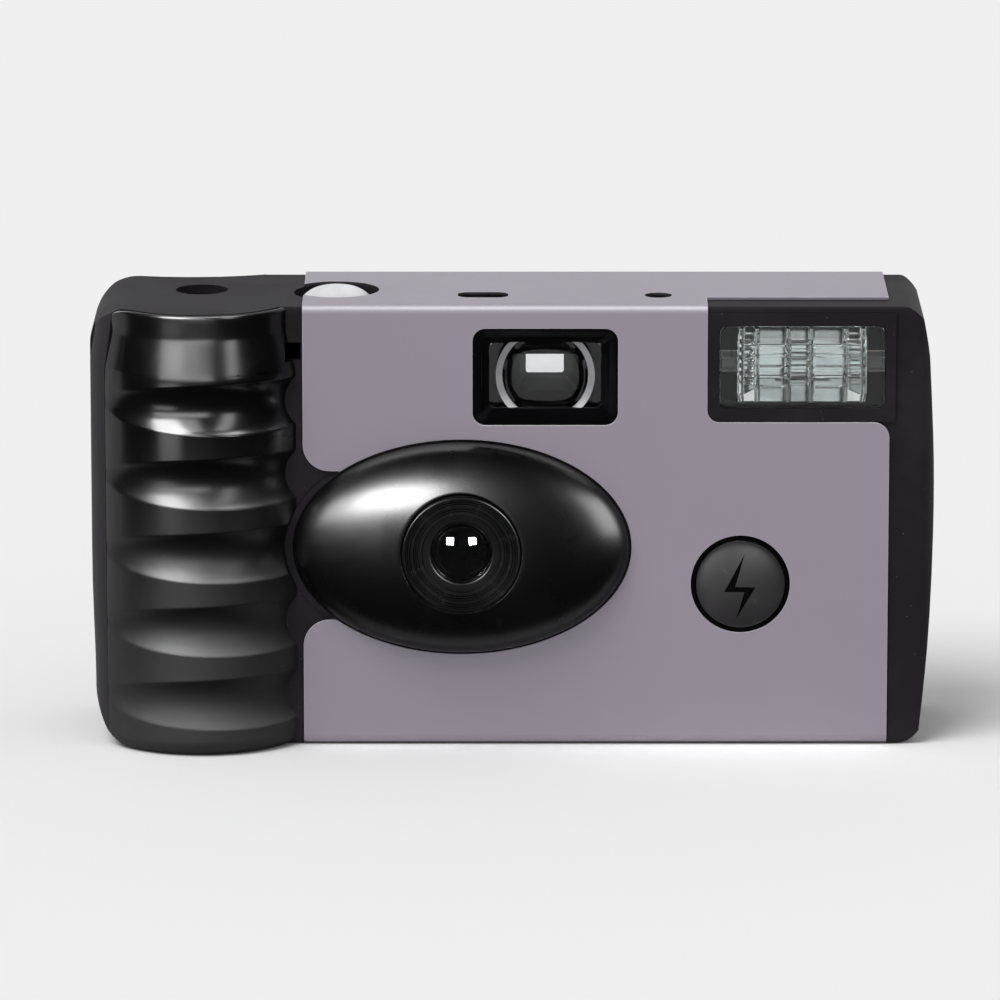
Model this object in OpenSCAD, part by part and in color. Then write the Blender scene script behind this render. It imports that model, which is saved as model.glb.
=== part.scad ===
// Single-use 35 mm film camera with flash: moulded covers, hand grip, card sleeve,
// lens and shutter, film transport, viewfinder and flash unit.
// The front faces -Y and the camera stands on z = 0.

/* [Body] */
// Overall width, from the latch tab to the bowed end
body_w = 118; // [117:0.5:122]
// Height of the black body without the sleeve
body_h = 62; // [62:0.1:64]
// Depth of the black body, front plane to back plane
body_d = 25.2; // [25.2:0.1:27]
// Wall of the moulded covers
wall = 1.5; // [1.4:0.05:1.65]
// Corner radius of the grip end, seen from the front
left_r = 6.5; // [5:0.5:7.5]
// Corner radius of the bowed end, seen from the front
right_r = 4.5; // [3:0.5:5]
// Radius of the bowed end
bow_r = 320; // [260:10:500]

/* [Sleeve] */
// Thickness of the card sleeve
sleeve_t = 0.4; // [0.25:0.05:0.5]
// Length of the sleeve along the camera
sleeve_w = 81.1; // [80.6:0.1:81.4]
// Outer bend radius of the sleeve at the top edges
sleeve_r = 1.3; // [1.1:0.1:1.4]

/* [Grip] */
// Radius of the grip seen from above
grip_r = 15.4; // [15.2:0.1:15.6]
// How far the grip stands in front of the front plane
grip_bulge = 7.7; // [7.4:0.1:8.4]
// Lean of the plain band above the flutes, in degrees
crown_lean = 9; // [7:0.5:12]
// Radius of the top edge of the grip
crown_r = 1; // [0.8:0.1:1.3]
// Depth of a finger flute
flute_depth = 1.3; // [0.6:0.1:1.4]
// Height of a finger flute
flute_h = 6.8; // [5:0.1:7.4]
// Step from flute to flute
flute_step = 10.4; // [9.6:0.1:10.6]
// Number of flutes
flutes = 5; // [3:1:5]

/* [Lens] */
// Width of the oval bezel
bezel_w = 46.7; // [45:0.1:47]
// Height of the oval bezel
bezel_h = 30; // [28:0.1:31]
// How far the lens ring stands in front of the front plane
ring_rise = 6.6; // [6.2:0.1:7.4]
// Outer diameter of the stepped lens ring
ring_d = 16.5; // [15.5:0.1:17.5]
// Diameter of the taking lens
lens_d = 9; // [8.6:0.1:9.4]
// Diameter of the aperture
aperture_d = 2.9; // [2:0.1:3.4]

/* [Viewfinder] */
// Width of the viewfinder bezel
finder_w = 19.9; // [19.4:0.1:20.4]
// Height of the viewfinder bezel
finder_h = 13.4; // [13:0.1:13.8]
// Diameter of the round hollows in the front lens of the viewfinder
finder_dish = 13.7; // [12.5:0.1:14.2]

/* [Flash] */
// Width of the flash window
flash_w = 22.8; // [21:0.1:23.2]
// Height of the flash window
flash_h = 11.4; // [10.6:0.1:11.6]
// Width of the bright trough behind the flash window
trough_w = 17.6; // [16:0.1:20]
// Diameter of the flash button
flash_button_d = 12.3; // [10:0.1:12.6]
// Travel of the flash button
flash_travel = 0.8; // [0.4:0.1:0.8]

/* [Controls] */
// Diameter of the shutter button
shutter_d = 9.2; // [8:0.1:9.6]
// Travel of the shutter button
shutter_travel = 1.5; // [1:0.1:1.5]
// Radius of the thumbwheel
wheel_r = 12.4; // [11.8:0.1:12.8]
// Number of grooves round the thumbwheel
wheel_grooves = 48; // [30:2:60]
// Diameter of the hole in the top over the thumbwheel
hub_hole_d = 7.3; // [7:0.1:8]

/* [Film] */
// Diameter of the film cartridge
cart_d = 25; // [24.8:0.1:25.2]
// Radius of the film wound on the supply spool
roll_r = 8.2; // [6:0.1:8.2]
// Diameter of the battery
battery_d = 10.3; // [9.8:0.1:10.5]

/* [Fits] */
// Gap between fixed pieces
fit = 0.1; // [0.05:0.01:0.15]
// Radial clearance of a running shaft
run = 0.05; // [0.03:0.01:0.08]
// Gap beside a moving piece
gap = 0.3; // [0.2:0.05:0.35]

/* [Hidden] */
$fn = 72;
eps = 0.01;

// overall box
back_bulge = 2.1;
total_d = grip_bulge + body_d + back_bulge;
tab_proud = 0.4;
x_left = -body_w / 2 + tab_proud;
x_right = body_w / 2;
y_f = -total_d / 2 + grip_bulge;
y_b = y_f + body_d;
y_in = y_f + wall;
y_bin = y_b - wall;
z_top_in = body_h - wall;
floor_t = 1.8;
y_split = y_b - 2.5;

// sleeve
x_sl = -28.93;
x_sr = x_sl + sleeve_w;
sleeve_z = 0.2;
sleeve_in = sleeve_z + sleeve_t;
sleeve_corner = 2.2;

// grip and cartridge
x_cart = x_left + grip_r;
cart_r = cart_d / 2;
chamber_r = cart_r + 0.25;
chamber_t = 0.9;
bulge_wall = 1.2;
y_cart = total_d / 2 - cart_r - 0.4 - bulge_wall;
y_grip = -total_d / 2 + grip_r;
grip_t = 2.2;
cover_r = grip_r - grip_t - fit;
flute_r = (pow(flute_h / 2, 2) + pow(flute_depth, 2)) / (2 * flute_depth);
flute_z = 4 + flute_h / 2;
flute_dx = -0.8;
flute_dy = 1.5;
flute_ring = grip_r - flute_depth + flute_dy + flute_r;
cart_z = 6.5;
cart_gap = 0.7;
door_r = cart_r + 0.25;
hinge_x = x_cart + door_r + 0.65;
hinge_z = 0.95;
hinge_r = 0.65;

// thumb recess over the wheel
wheel_t = 3.8;
wheel_z = body_h - 8;
hub_r = 3.4;
ratchet_r = 7.6;
notch_r = 28;
notch_y = y_cart + 9.25;
notch_z = wheel_z - 1.6;
notch_t = 1.2;

// cartridge, film and its key, between the floor and the recess
plate_t = 1.2;
plate_z = notch_z - plate_t;
cart_h = plate_z - cart_gap - cart_z;
cart_cap = 4.5;
film_t = 0.15;
film_w = cart_h - 2 * cart_cap;
key_l = 7;
key_w = 1.4;
key_z = cart_z + cart_h - 3.8;

// viewfinder
x_find = 4.6;
z_find = body_h - 9.7;
tube_w = 11.4;
tube_h = 7.2;
dish_sag = 1.1;
dish_r = (pow(finder_dish / 2, 2) + pow(dish_sag, 2)) / (2 * dish_sag);

// lens, shutter and film gate
lens_x = -7;
lens_z = cart_z + cart_h / 2;
bezel_z = z_find - finder_h / 2 - bezel_h / 2 - 2.35;
bezel_t = 1.4;
y_ring = y_f - ring_rise;
bezel_rise = ring_rise + 0.4;
y_plate = y_in + 1.3;
film_y = y_b - 3.45;
gate_y = film_y - 1.35;
gate_w = 36;
gate_h = film_w - 11;
blade_t = 0.3;
blade_y = y_plate - 0.5;
blade_x = lens_x - 11;
blade_z = lens_z + 7.5;
deck_z = lens_z + film_w / 2 + 1;
deck_t = 1.4;
deck_top = deck_z + deck_t;

// film transport
tip_r = 6.7;
x_spr = lens_x - 15;
y_spr = film_y - 0.15 - tip_r;
spr_z = lens_z + film_w / 2 - 3.4;
sup_r = roll_r + 0.6;
sup_t = 0.9;
core_r = 4;
axle_r = 1.5;
x_sup = lens_x + 35.5;
y_sup = y_bin - 0.2 - sup_r;
film_bend = 18.6;

// counter
x_win = -4;
y_win = y_f + 7.35;
x_dial = x_win - 6.2;
y_dial = y_win + 3.45;
dial_r = 8.6;
dial_z = body_h - 7.5;
dial_t = 1.4;

// shutter button and levers
x_but = -24.4;
y_but = y_f + 11.3;
recess_r = shutter_d / 2 + 1.35;
recess_z = body_h - 1.2;
boss_z = body_h - 2.7;
flange_t = 1.2;
stem_x = x_but - 2.6;
stem_y = y_but - 2.5;
lever_x = stem_x + 6.5;
lever_z = deck_top + 2.8;
lever_w = 3;
strike_r = 6.75;
strike_x = blade_x + 1.72;
strike_y = blade_y + 6.75;

// flash
x_flash = 40.1;
z_flash = body_h - 8.35;
flash_pad_l = 27.1;
flash_pad_z = body_h - 16;
x_fbut = 31.7;
z_fbut = lens_z - 5.5;
lamp_x = 20.3;
lamp_y = y_f + 7.1;
lamp_d = 3.8;
board_y = y_in + 0.9 + flash_travel;
board_t = 1.4;
x_cap = x_right - 10.4;
cap_r = 6.5;
lead_h = 2.6;
coil_h = 9;
coil_z = deck_z - 2 - coil_h;
cap_h = coil_z - 1.6 - lead_h - floor_t;

// battery under the light tunnel
bat_l = 44.5;
bat_x = lens_x - 21;
bat_y = y_in + 0.4 + 5.25;
bat_z = floor_t + 5.6;
contact_w = 7;
contact_t = 0.35;
contact_z = bat_z + 4;

module box(x0, x1, y0, y1, z0, z1) {
    translate([x0, y0, z0]) cube([x1 - x0, y1 - y0, z1 - z0]);
}

module slab_x(x0, x1) {
    translate([x0, 0, 0]) rotate([90, 0, 90]) linear_extrude(x1 - x0) children();
}

module slab_y(y0, y1) {
    translate([0, y1, 0]) rotate([90, 0, 0]) linear_extrude(y1 - y0) children();
}

module slab_z(z0, z1) {
    translate([0, 0, z0]) linear_extrude(z1 - z0) children();
}

module rrect(w, h, r) {
    square([w - 2 * r, h], center = true);
    square([w, h - 2 * r], center = true);
    for (x = [-1, 1], y = [-1, 1])
        translate([x * (w / 2 - r), y * (h / 2 - r)]) circle(r);
}

module at_xz(x, z) {
    translate([x, z]) children();
}

// outline of the body seen from the front: round corners and a bowed right end
module front_profile(in = 0) {
    intersection() {
        union() {
            translate([x_left + left_r, in])
                square([x_right - right_r - x_left - left_r, body_h - 2 * in]);
            translate([x_left + in, left_r]) square([left_r, body_h - 2 * left_r]);
            translate([x_right - right_r, right_r])
                square([right_r - in, body_h - 2 * right_r]);
            for (z = [left_r, body_h - left_r])
                translate([x_left + left_r, z]) circle(left_r - in);
            for (z = [right_r, body_h - right_r])
                translate([x_right - right_r, z]) circle(right_r - in);
        }
        translate([x_right - bow_r, 37]) circle(bow_r - in, $fn = 360);
    }
}

// outline of the main block seen from above
module main_plan(in = 0) {
    rf = 2.5;
    rb = 5;
    translate([x_cart, y_f + in]) square([x_right - rb - x_cart, body_d - 2 * in]);
    translate([x_right - rb - eps, y_f + in]) square([rb - rf + eps, rf]);
    translate([x_right - rb - eps, y_f + rf])
        square([rb - in + eps, body_d - rf - rb]);
    translate([x_right - rf, y_f + rf]) circle(rf - in);
    translate([x_right - rb, y_b - rb]) circle(rb - in);
}

// outline of the grip end seen from above, under the grip piece
module grip_plan(in = 0) {
    rb = 5;
    translate([x_cart, y_grip]) circle(cover_r - in);
    translate([x_left + in, y_grip]) square([grip_r - in + eps, y_b - rb - y_grip]);
    translate([x_left + rb, y_b - rb - eps]) square([grip_r - rb + eps, rb - in + eps]);
    translate([x_left + rb, y_b - rb]) circle(rb - in);
}

// sector of the smooth band of the cover beside the grip piece
module grip_band() {
    translate([x_cart, y_grip]) polygon([[0, 0], [-30, 0], [-30, -30 * tan(32)]]);
}

// half outline of the grip: round foot, straight wall, leaning band, round top
module grip_profile() {
    r0 = grip_r - grip_t;
    reach = crown_r - eps;
    tip = [r0 + reach * cos(crown_lean), body_h - crown_r + reach * sin(crown_lean)];
    lean_z = tip[1] - (grip_r - tip[0]) / tan(crown_lean);
    translate([r0, grip_t]) square([grip_t, lean_z - grip_t]);
    polygon([[r0, lean_z - eps], [grip_r, lean_z - eps], [grip_r, lean_z], tip, [r0, tip[1]]]);
    translate([r0, body_h - crown_r]) intersection() {
        circle(crown_r);
        square(crown_r);
    }
    translate([r0, grip_t]) intersection() {
        circle(grip_t);
        translate([0, -grip_t]) square([grip_t, grip_t + eps]);
    }
}

module grip_round() {
    translate([x_cart, y_grip, 0]) rotate_extrude($fn = 120) {
        grip_profile();
        square([grip_r - grip_t, body_h]);
    }
}

module side_profile() {
    translate([(y_f + y_b) / 2, body_h / 2]) rrect(body_d, body_h, 1);
}

module body_solid() {
    intersection() {
        slab_z(0, body_h) main_plan();
        slab_y(y_f - 1, y_b + 1) front_profile();
        slab_x(x_cart - 1, x_right + 1) side_profile();
    }
    intersection() {
        slab_z(0, body_h) union() {
            grip_plan();
            translate([x_cart, y_cart]) circle(cart_r + 0.4 + bulge_wall);
        }
        slab_y(-total_d / 2 - 1, total_d / 2 + 1) front_profile();
    }
    intersection() {
        slab_z(0, body_h) grip_band();
        grip_round();
        slab_y(-total_d / 2 - 1, total_d / 2 + 1) front_profile();
    }
}

module thumb_cut(r, z) {
    translate([x_cart - 1.8, notch_y + notch_r, z]) cylinder(r = r, h = 20, $fn = 180);
}

module body_cavity() {
    difference() {
        intersection() {
            slab_z(floor_t, z_top_in) union() {
                main_plan(wall);
                grip_plan(wall);
                translate([x_cart, y_cart]) circle(chamber_r + chamber_t + fit);
                translate([x_cart, y_cart]) circle(cart_r + 0.4);
            }
            slab_y(-total_d / 2, total_d / 2) front_profile(wall);
            union() {
                box(-100, 100, -50, y_bin, -1, 100);
                translate([x_cart, y_cart, 0]) cylinder(r = cart_r + 0.4, h = 100);
            }
        }
        thumb_cut(notch_r + notch_t, notch_z - notch_t);
    }
}

module body_shell() {
    difference() {
        body_solid();
        body_cavity();
        thumb_cut(notch_r, notch_z);
        // slot for the thumbwheel
        translate([x_cart, y_cart, wheel_z - 0.4])
            cylinder(r = wheel_r + 0.4, h = wheel_t + 0.8);
        // film door in the base
        translate([x_cart, y_cart, -1]) cylinder(r = door_r, h = floor_t + 2);
        box(hinge_x - 1.5, hinge_x + hinge_r + fit, -1.15, 7.15, -1, floor_t + 1);
        // the sleeve passes under the base
        box(x_sl - fit, x_sr + fit, y_f - 1, y_b + 1, -1, sleeve_in);
        // thumb-nail notch of the film door
        translate([x_cart - door_r - 0.5, y_cart, -3]) sphere(r = 3.9);
    }
}

module latch_tab(g = 0) {
    slab_x(x_left - tab_proud - g, x_left + 1.2 + g)
        translate([y_split - 1.5, 27.5]) rrect(5 + 2 * g, 17 + 2 * g, 1);
}

module finder_hole(g) {
    at_xz(x_find, z_find) rrect(finder_w + 2 * g, finder_h + 2 * g, 1.8);
}

module flash_hole(g) {
    at_xz(x_flash, z_flash) rrect(flash_w + 2 * g, flash_h + 2 * g, 1);
}

module window_slot(g) {
    translate([x_win, y_win]) rrect(7 + 2 * g, 3.9 + 2 * g, 1.6);
}

// window of the snap that holds the two covers beside the grip
module snap_window() {
    box(x_sl - 2.37, x_sl - 0.27, y_f - 12, y_in + 1, body_h - 7.4, body_h - 4.9);
}

module oval(w, h) {
    translate([lens_x, bezel_z]) scale([w / 2, h / 2]) circle(1, $fn = 144);
}

module front_cover() {
    color([0.13, 0.13, 0.14]) difference() {
        union() {
            intersection() {
                body_shell();
                box(-100, 100, -50, y_split, -1, 100);
            }
            // raised frame round the flash window, level with the sleeve
            intersection() {
                slab_y(y_f - sleeve_t, y_f + eps) difference() {
                    translate([flash_pad_l + 16, flash_pad_z + 9])
                        rrect(32, 18, 1.6);
                    translate([x_right - 6, flash_pad_z - 10]) square([20, 40]);
                }
                box(0, 100, -50, 50, 0, body_h - 0.8);
            }
            // rim round the flash button
            slab_y(y_f - sleeve_t, y_f + eps) translate([x_fbut, z_fbut]) circle(6.8);
            // base rim of the bezel where the sleeve is open
            intersection() {
                slab_y(y_f - sleeve_t, y_f + eps) difference() {
                    oval(bezel_w + 2.2, bezel_h + 1);
                    oval(bezel_w + fit, bezel_h + fit);
                }
                box(x_sl - 3, x_sl + 4.63, -50, 50, bezel_z - 9.65, bezel_z + 10.05);
            }
            // seat under the shutter button
            slab_z(boss_z, z_top_in + eps) translate([x_but, y_but]) circle(recess_r + 1);
            // bearing of the wheel hub
            slab_z(body_h - 3.4, z_top_in + eps) translate([x_cart, y_cart]) circle(5.2);
        }
        // lens opening
        slab_y(y_f - 3, y_in + 1) translate([lens_x, lens_z]) circle(11.6);
        slab_y(y_f - 3, y_in + 1) finder_hole(fit);
        slab_y(y_f - 3, y_in + 1) flash_hole(fit);
        slab_y(y_f - 3, y_in + 1)
            translate([x_fbut, z_fbut]) circle(flash_button_d / 2 + gap / 2);
        // snap window beside the grip
        snap_window();
        // top: button recess and hole, counter slot, lamp hole, hub hole
        slab_z(recess_z, body_h + 1) translate([x_but, y_but]) circle(recess_r);
        slab_z(boss_z - 1, body_h) translate([x_but, y_but]) circle(shutter_d / 2 + 0.15);
        slab_z(z_top_in - 1, body_h + 1) window_slot(fit);
        slab_z(z_top_in - 1, body_h + 1)
            translate([lamp_x, lamp_y]) circle(lamp_d / 2);
        slab_z(body_h - 0.9, body_h + 1)
            translate([x_cart, y_cart]) circle(hub_hole_d / 2);
        slab_z(body_h - 5, body_h) translate([x_cart, y_cart]) circle(hub_r + run);
        latch_tab(fit);
    }
}

module rear_cover() {
    color([0.14, 0.14, 0.15]) difference() {
        union() {
            intersection() {
                body_shell();
                box(-100, 100, y_split + fit, 50, -1, 100);
            }
            latch_tab();
            // rails that hold the film flat on the gate
            for (z = [lens_z - film_w / 2 + 0.5, lens_z + film_w / 2 - 2.9])
                box(-28, 18, film_y + film_t + fit, y_bin + eps, z, z + 2.4);
        }
        // eyepiece opening
        slab_y(y_bin - 1, y_b + 1)
            translate([x_find, z_find]) rrect(tube_w - 1.6, tube_h - 1.2, 0.9);
    }
}

// ribbed shell over the front of the grip end
module hand_grip() {
    color([0.05, 0.05, 0.055]) difference() {
        intersection() {
            translate([x_cart, y_grip, 0]) rotate_extrude($fn = 120) grip_profile();
            slab_z(-1, 100) translate([x_cart, y_grip])
                polygon([[0, 0], [-30, -30 * tan(32.4)], [-30, -40], [40, -40], [40, 0]]);
            slab_y(-50, y_f) front_profile(0.05);
        }
        // flutes run out towards the smooth side band
        translate([x_cart + flute_dx, y_grip + flute_dy, flute_z]) for (i = [0:flutes - 1])
            translate([0, 0, i * flute_step]) rotate_extrude($fn = 120)
                translate([flute_ring, 0]) circle(flute_r);
        // stays clear of the bezel
        slab_y(-50, y_f + 1) oval(bezel_w + 2.6, bezel_h + 1.4);
        box(x_cart, 0, y_f - eps, 50, -1, 100);
        box(x_sl - fit, 0, -50, 50, -1, 100);
        snap_window();
    }
}

module sleeve_loop(g, r) {
    translate([(y_f + y_b) / 2, (sleeve_in + body_h) / 2])
        rrect(body_d + 2 * g, body_h - sleeve_in + 2 * g, r);
}

module sleeve() {
    corner = 3.7;
    gap_z0 = bezel_z - 10.35;
    gap_z1 = bezel_z + 10.75;
    color([0.6, 0.57, 0.63]) difference() {
        slab_x(x_sl, x_sr) difference() {
            sleeve_loop(sleeve_t, sleeve_r);
            sleeve_loop(0, sleeve_r - sleeve_t);
            translate([y_f, sleeve_in]) square([body_d, 20]);
        }
        // lens opening, open to the left edge with round corners
        slab_y(y_f - 2, y_f + 3) {
            oval(bezel_w + 0.5, bezel_h + 0.5);
            translate([x_sl - 1, gap_z0]) square([6, gap_z1 - gap_z0]);
            for (s = [-1, 1])
                translate([x_sl, s > 0 ? gap_z1 : gap_z0]) difference() {
                    translate([-1, s > 0 ? -eps : -corner])
                        square([corner + 1, corner + eps]);
                    translate([corner, s * corner]) circle(corner);
                }
        }
        slab_y(y_f - 2, y_f + 3) finder_hole(fit);
        slab_y(y_f - 2, y_f + 3) translate([x_fbut, z_fbut]) circle(6.8 + fit);
        // flash opening runs over the top edge and out at the right
        slab_y(y_f - 2, y_f + 5.6)
            translate([flash_pad_l + 20 - fit, flash_pad_z + 15 - fit]) rrect(40, 30, 1.7);
        // round corner of the card under the flash frame
        slab_y(y_f - 2, y_f + 3)
            translate([x_sr - sleeve_corner, flash_pad_z - fit - sleeve_corner]) difference() {
                square(sleeve_corner + 1);
                circle(sleeve_corner);
            }
        // top openings
        slab_z(body_h - 1, body_h + 2) {
            translate([x_but, y_but]) circle(recess_r);
            window_slot(0);
            translate([lamp_x, lamp_y]) circle(lamp_d / 2);
        }
        // eyepiece opening at the back
        slab_y(y_b - 2, y_b + 2)
            translate([x_find, z_find]) rrect(tube_w + 1.6, tube_h + 2, 1.6);
    }
}

module film_door() {
    color([0.13, 0.13, 0.14]) difference() {
        union() {
            translate([x_cart, y_cart, 0.35]) cylinder(r = door_r - 0.3, h = floor_t - 0.6);
            box(hinge_x - 2, hinge_x, -0.9, 6.9, 0.35, 0.35 + floor_t - 0.6);
            translate([hinge_x, -0.9, hinge_z]) rotate([-90, 0, 0])
                cylinder(r = hinge_r, h = 7.8);
        }
        // shallow ring moulded into the outside
        translate([x_cart, y_cart, 0]) difference() {
            cylinder(r = 9, h = 0.6);
            translate([0, 0, -1]) cylinder(r = 8, h = 3);
        }
    }
}

module lens_bezel() {
    color([0.06, 0.06, 0.065]) difference() {
        intersection() {
            translate([lens_x, y_f, bezel_z])
                scale([bezel_w / 2, bezel_rise, bezel_h / 2]) sphere(1, $fn = 120);
            box(-60, 60, -40, y_f, 0, 60);
        }
        translate([lens_x, y_f, bezel_z])
            scale([bezel_w / 2 - bezel_t, bezel_rise - bezel_t, bezel_h / 2 - bezel_t])
                sphere(1, $fn = 120);
        slab_y(-40, y_f - 2) translate([lens_x, lens_z]) circle(ring_d / 2 + fit / 2);
    }
}

// ring with steps that lead in to the lens
module lens_ring() {
    r = ring_d / 2;
    color([0.08, 0.08, 0.085]) translate([lens_x, y_ring, lens_z]) rotate([-90, 0, 0])
        rotate_extrude() difference() {
            translate([lens_d / 2 - 0.4, 0]) square([r - lens_d / 2 + 0.4, 2.6]);
            translate([0, -1]) square([r - 0.5, 1.35]);
            translate([0, -1]) square([r - 1.6, 1.75]);
            translate([0, -1]) square([r - 2.8, 2.15]);
            translate([r, 0]) circle(0.25);
            translate([0, 2.1]) square([lens_d / 2 + fit / 2, 3]);
        }
}

module taking_lens() {
    r = lens_d / 2;
    bow = 9;
    color([0.75, 0.85, 0.9, 0.5]) translate([lens_x, y_ring + 2.15, lens_z])
        rotate([-90, 0, 0]) rotate_extrude() union() {
            square([r, 1.5]);
            intersection() {
                translate([0, -1.15 + bow]) circle(bow);
                translate([0, -3]) square([r - 0.5, 3 + eps]);
            }
        }
}

module lens_holder() {
    r = lens_d / 2;
    color([0.1, 0.1, 0.1]) {
        difference() {
            union() {
                slab_y(y_plate - 1.6, y_plate - 0.8)
                    translate([lens_x, lens_z]) circle(9.5);
                slab_y(y_ring + 2.7, y_plate - 0.8)
                    translate([lens_x, lens_z]) circle(r + 1.2);
            }
            slab_y(y_ring, y_ring + 3.75) translate([lens_x, lens_z]) circle(r + fit / 2);
            slab_y(y_ring, y_plate) translate([lens_x, lens_z]) circle(r - 0.6);
        }
        // legs to the frame, clear of the blade
        box(lens_x - 2, lens_x + 2, y_plate - 0.8, y_plate, lens_z - 9.2, lens_z - 8.2);
        box(lens_x - 2, lens_x + 2, y_plate - 0.8, y_plate, lens_z + 8.2, lens_z + 9.2);
        box(lens_x + 7.4, lens_x + 8.4, y_plate - 0.8, y_plate, lens_z - 2, lens_z + 2);
    }
}

module aperture_disc() {
    color([0.3, 0.3, 0.3]) slab_y(y_ring + 3.85, y_ring + 4.1)
        translate([lens_x, lens_z]) difference() {
            circle(lens_d / 2 - 0.6 - fit / 2);
            circle(aperture_d / 2);
        }
}

module shutter_blade() {
    color([0.2, 0.2, 0.2]) slab_y(blade_y, blade_y + blade_t) difference() {
        union() {
            translate([lens_x, lens_z]) circle(3.2);
            translate([blade_x, blade_z]) circle(2);
            hull() {
                translate([lens_x - 1, lens_z + 0.7]) circle(1.6, $fn = 24);
                translate([blade_x, blade_z]) circle(1.4, $fn = 24);
            }
            translate([blade_x - 0.6, blade_z]) square([1.2, deck_top + 2 - blade_z]);
        }
        translate([blade_x, blade_z]) circle(1 + run);
    }
}

module striker() {
    tip = [strike_x - strike_r * sin(28), strike_y - strike_r * cos(28)];
    color([0.7, 0.68, 0.6]) difference() {
        slab_z(deck_top + 0.2, deck_top + 1.6) {
            translate([strike_x, strike_y]) circle(1.8);
            translate([strike_x, strike_y]) rotate(-28)
                translate([-0.7, -strike_r]) square([1.4, strike_r]);
            translate(tip) circle(0.6);
        }
        translate([strike_x, strike_y, deck_top - 1]) cylinder(r = 1 + run, h = 5);
    }
}

module release_lever() {
    color([0.72, 0.7, 0.62]) difference() {
        union() {
            box(stem_x - 1.4, lever_x + 5.2, stem_y - lever_w / 2, stem_y + lever_w / 2,
                lever_z - 0.6, lever_z + 0.6);
            translate([lever_x, stem_y - lever_w / 2, lever_z]) rotate([-90, 0, 0])
                cylinder(r = 1.6, h = lever_w);
        }
        translate([lever_x, stem_y - 5, lever_z]) rotate([-90, 0, 0])
            cylinder(r = 0.8 + run, h = 10);
    }
}

module shutter_button() {
    r = shutter_d / 2;
    rise = shutter_travel - 0.1;
    dome = (r * r + rise * rise) / (2 * rise);
    color([0.93, 0.93, 0.93]) {
        translate([x_but, y_but, 0]) {
            intersection() {
                translate([0, 0, body_h - 0.5 + rise - dome]) sphere(r = dome, $fn = 120);
                translate([0, 0, body_h - 0.5 - eps]) cylinder(r = r, h = 5);
            }
            translate([0, 0, boss_z - 0.1 - flange_t])
                cylinder(r = r, h = body_h - 0.5 - boss_z + 0.1 + flange_t);
            translate([0, 0, boss_z - 0.1 - flange_t]) cylinder(r = r + 0.7, h = flange_t);
        }
        translate([stem_x, stem_y, lever_z + 0.8])
            cylinder(r = 1, h = boss_z - flange_t - lever_z - 0.8);
    }
}

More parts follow.
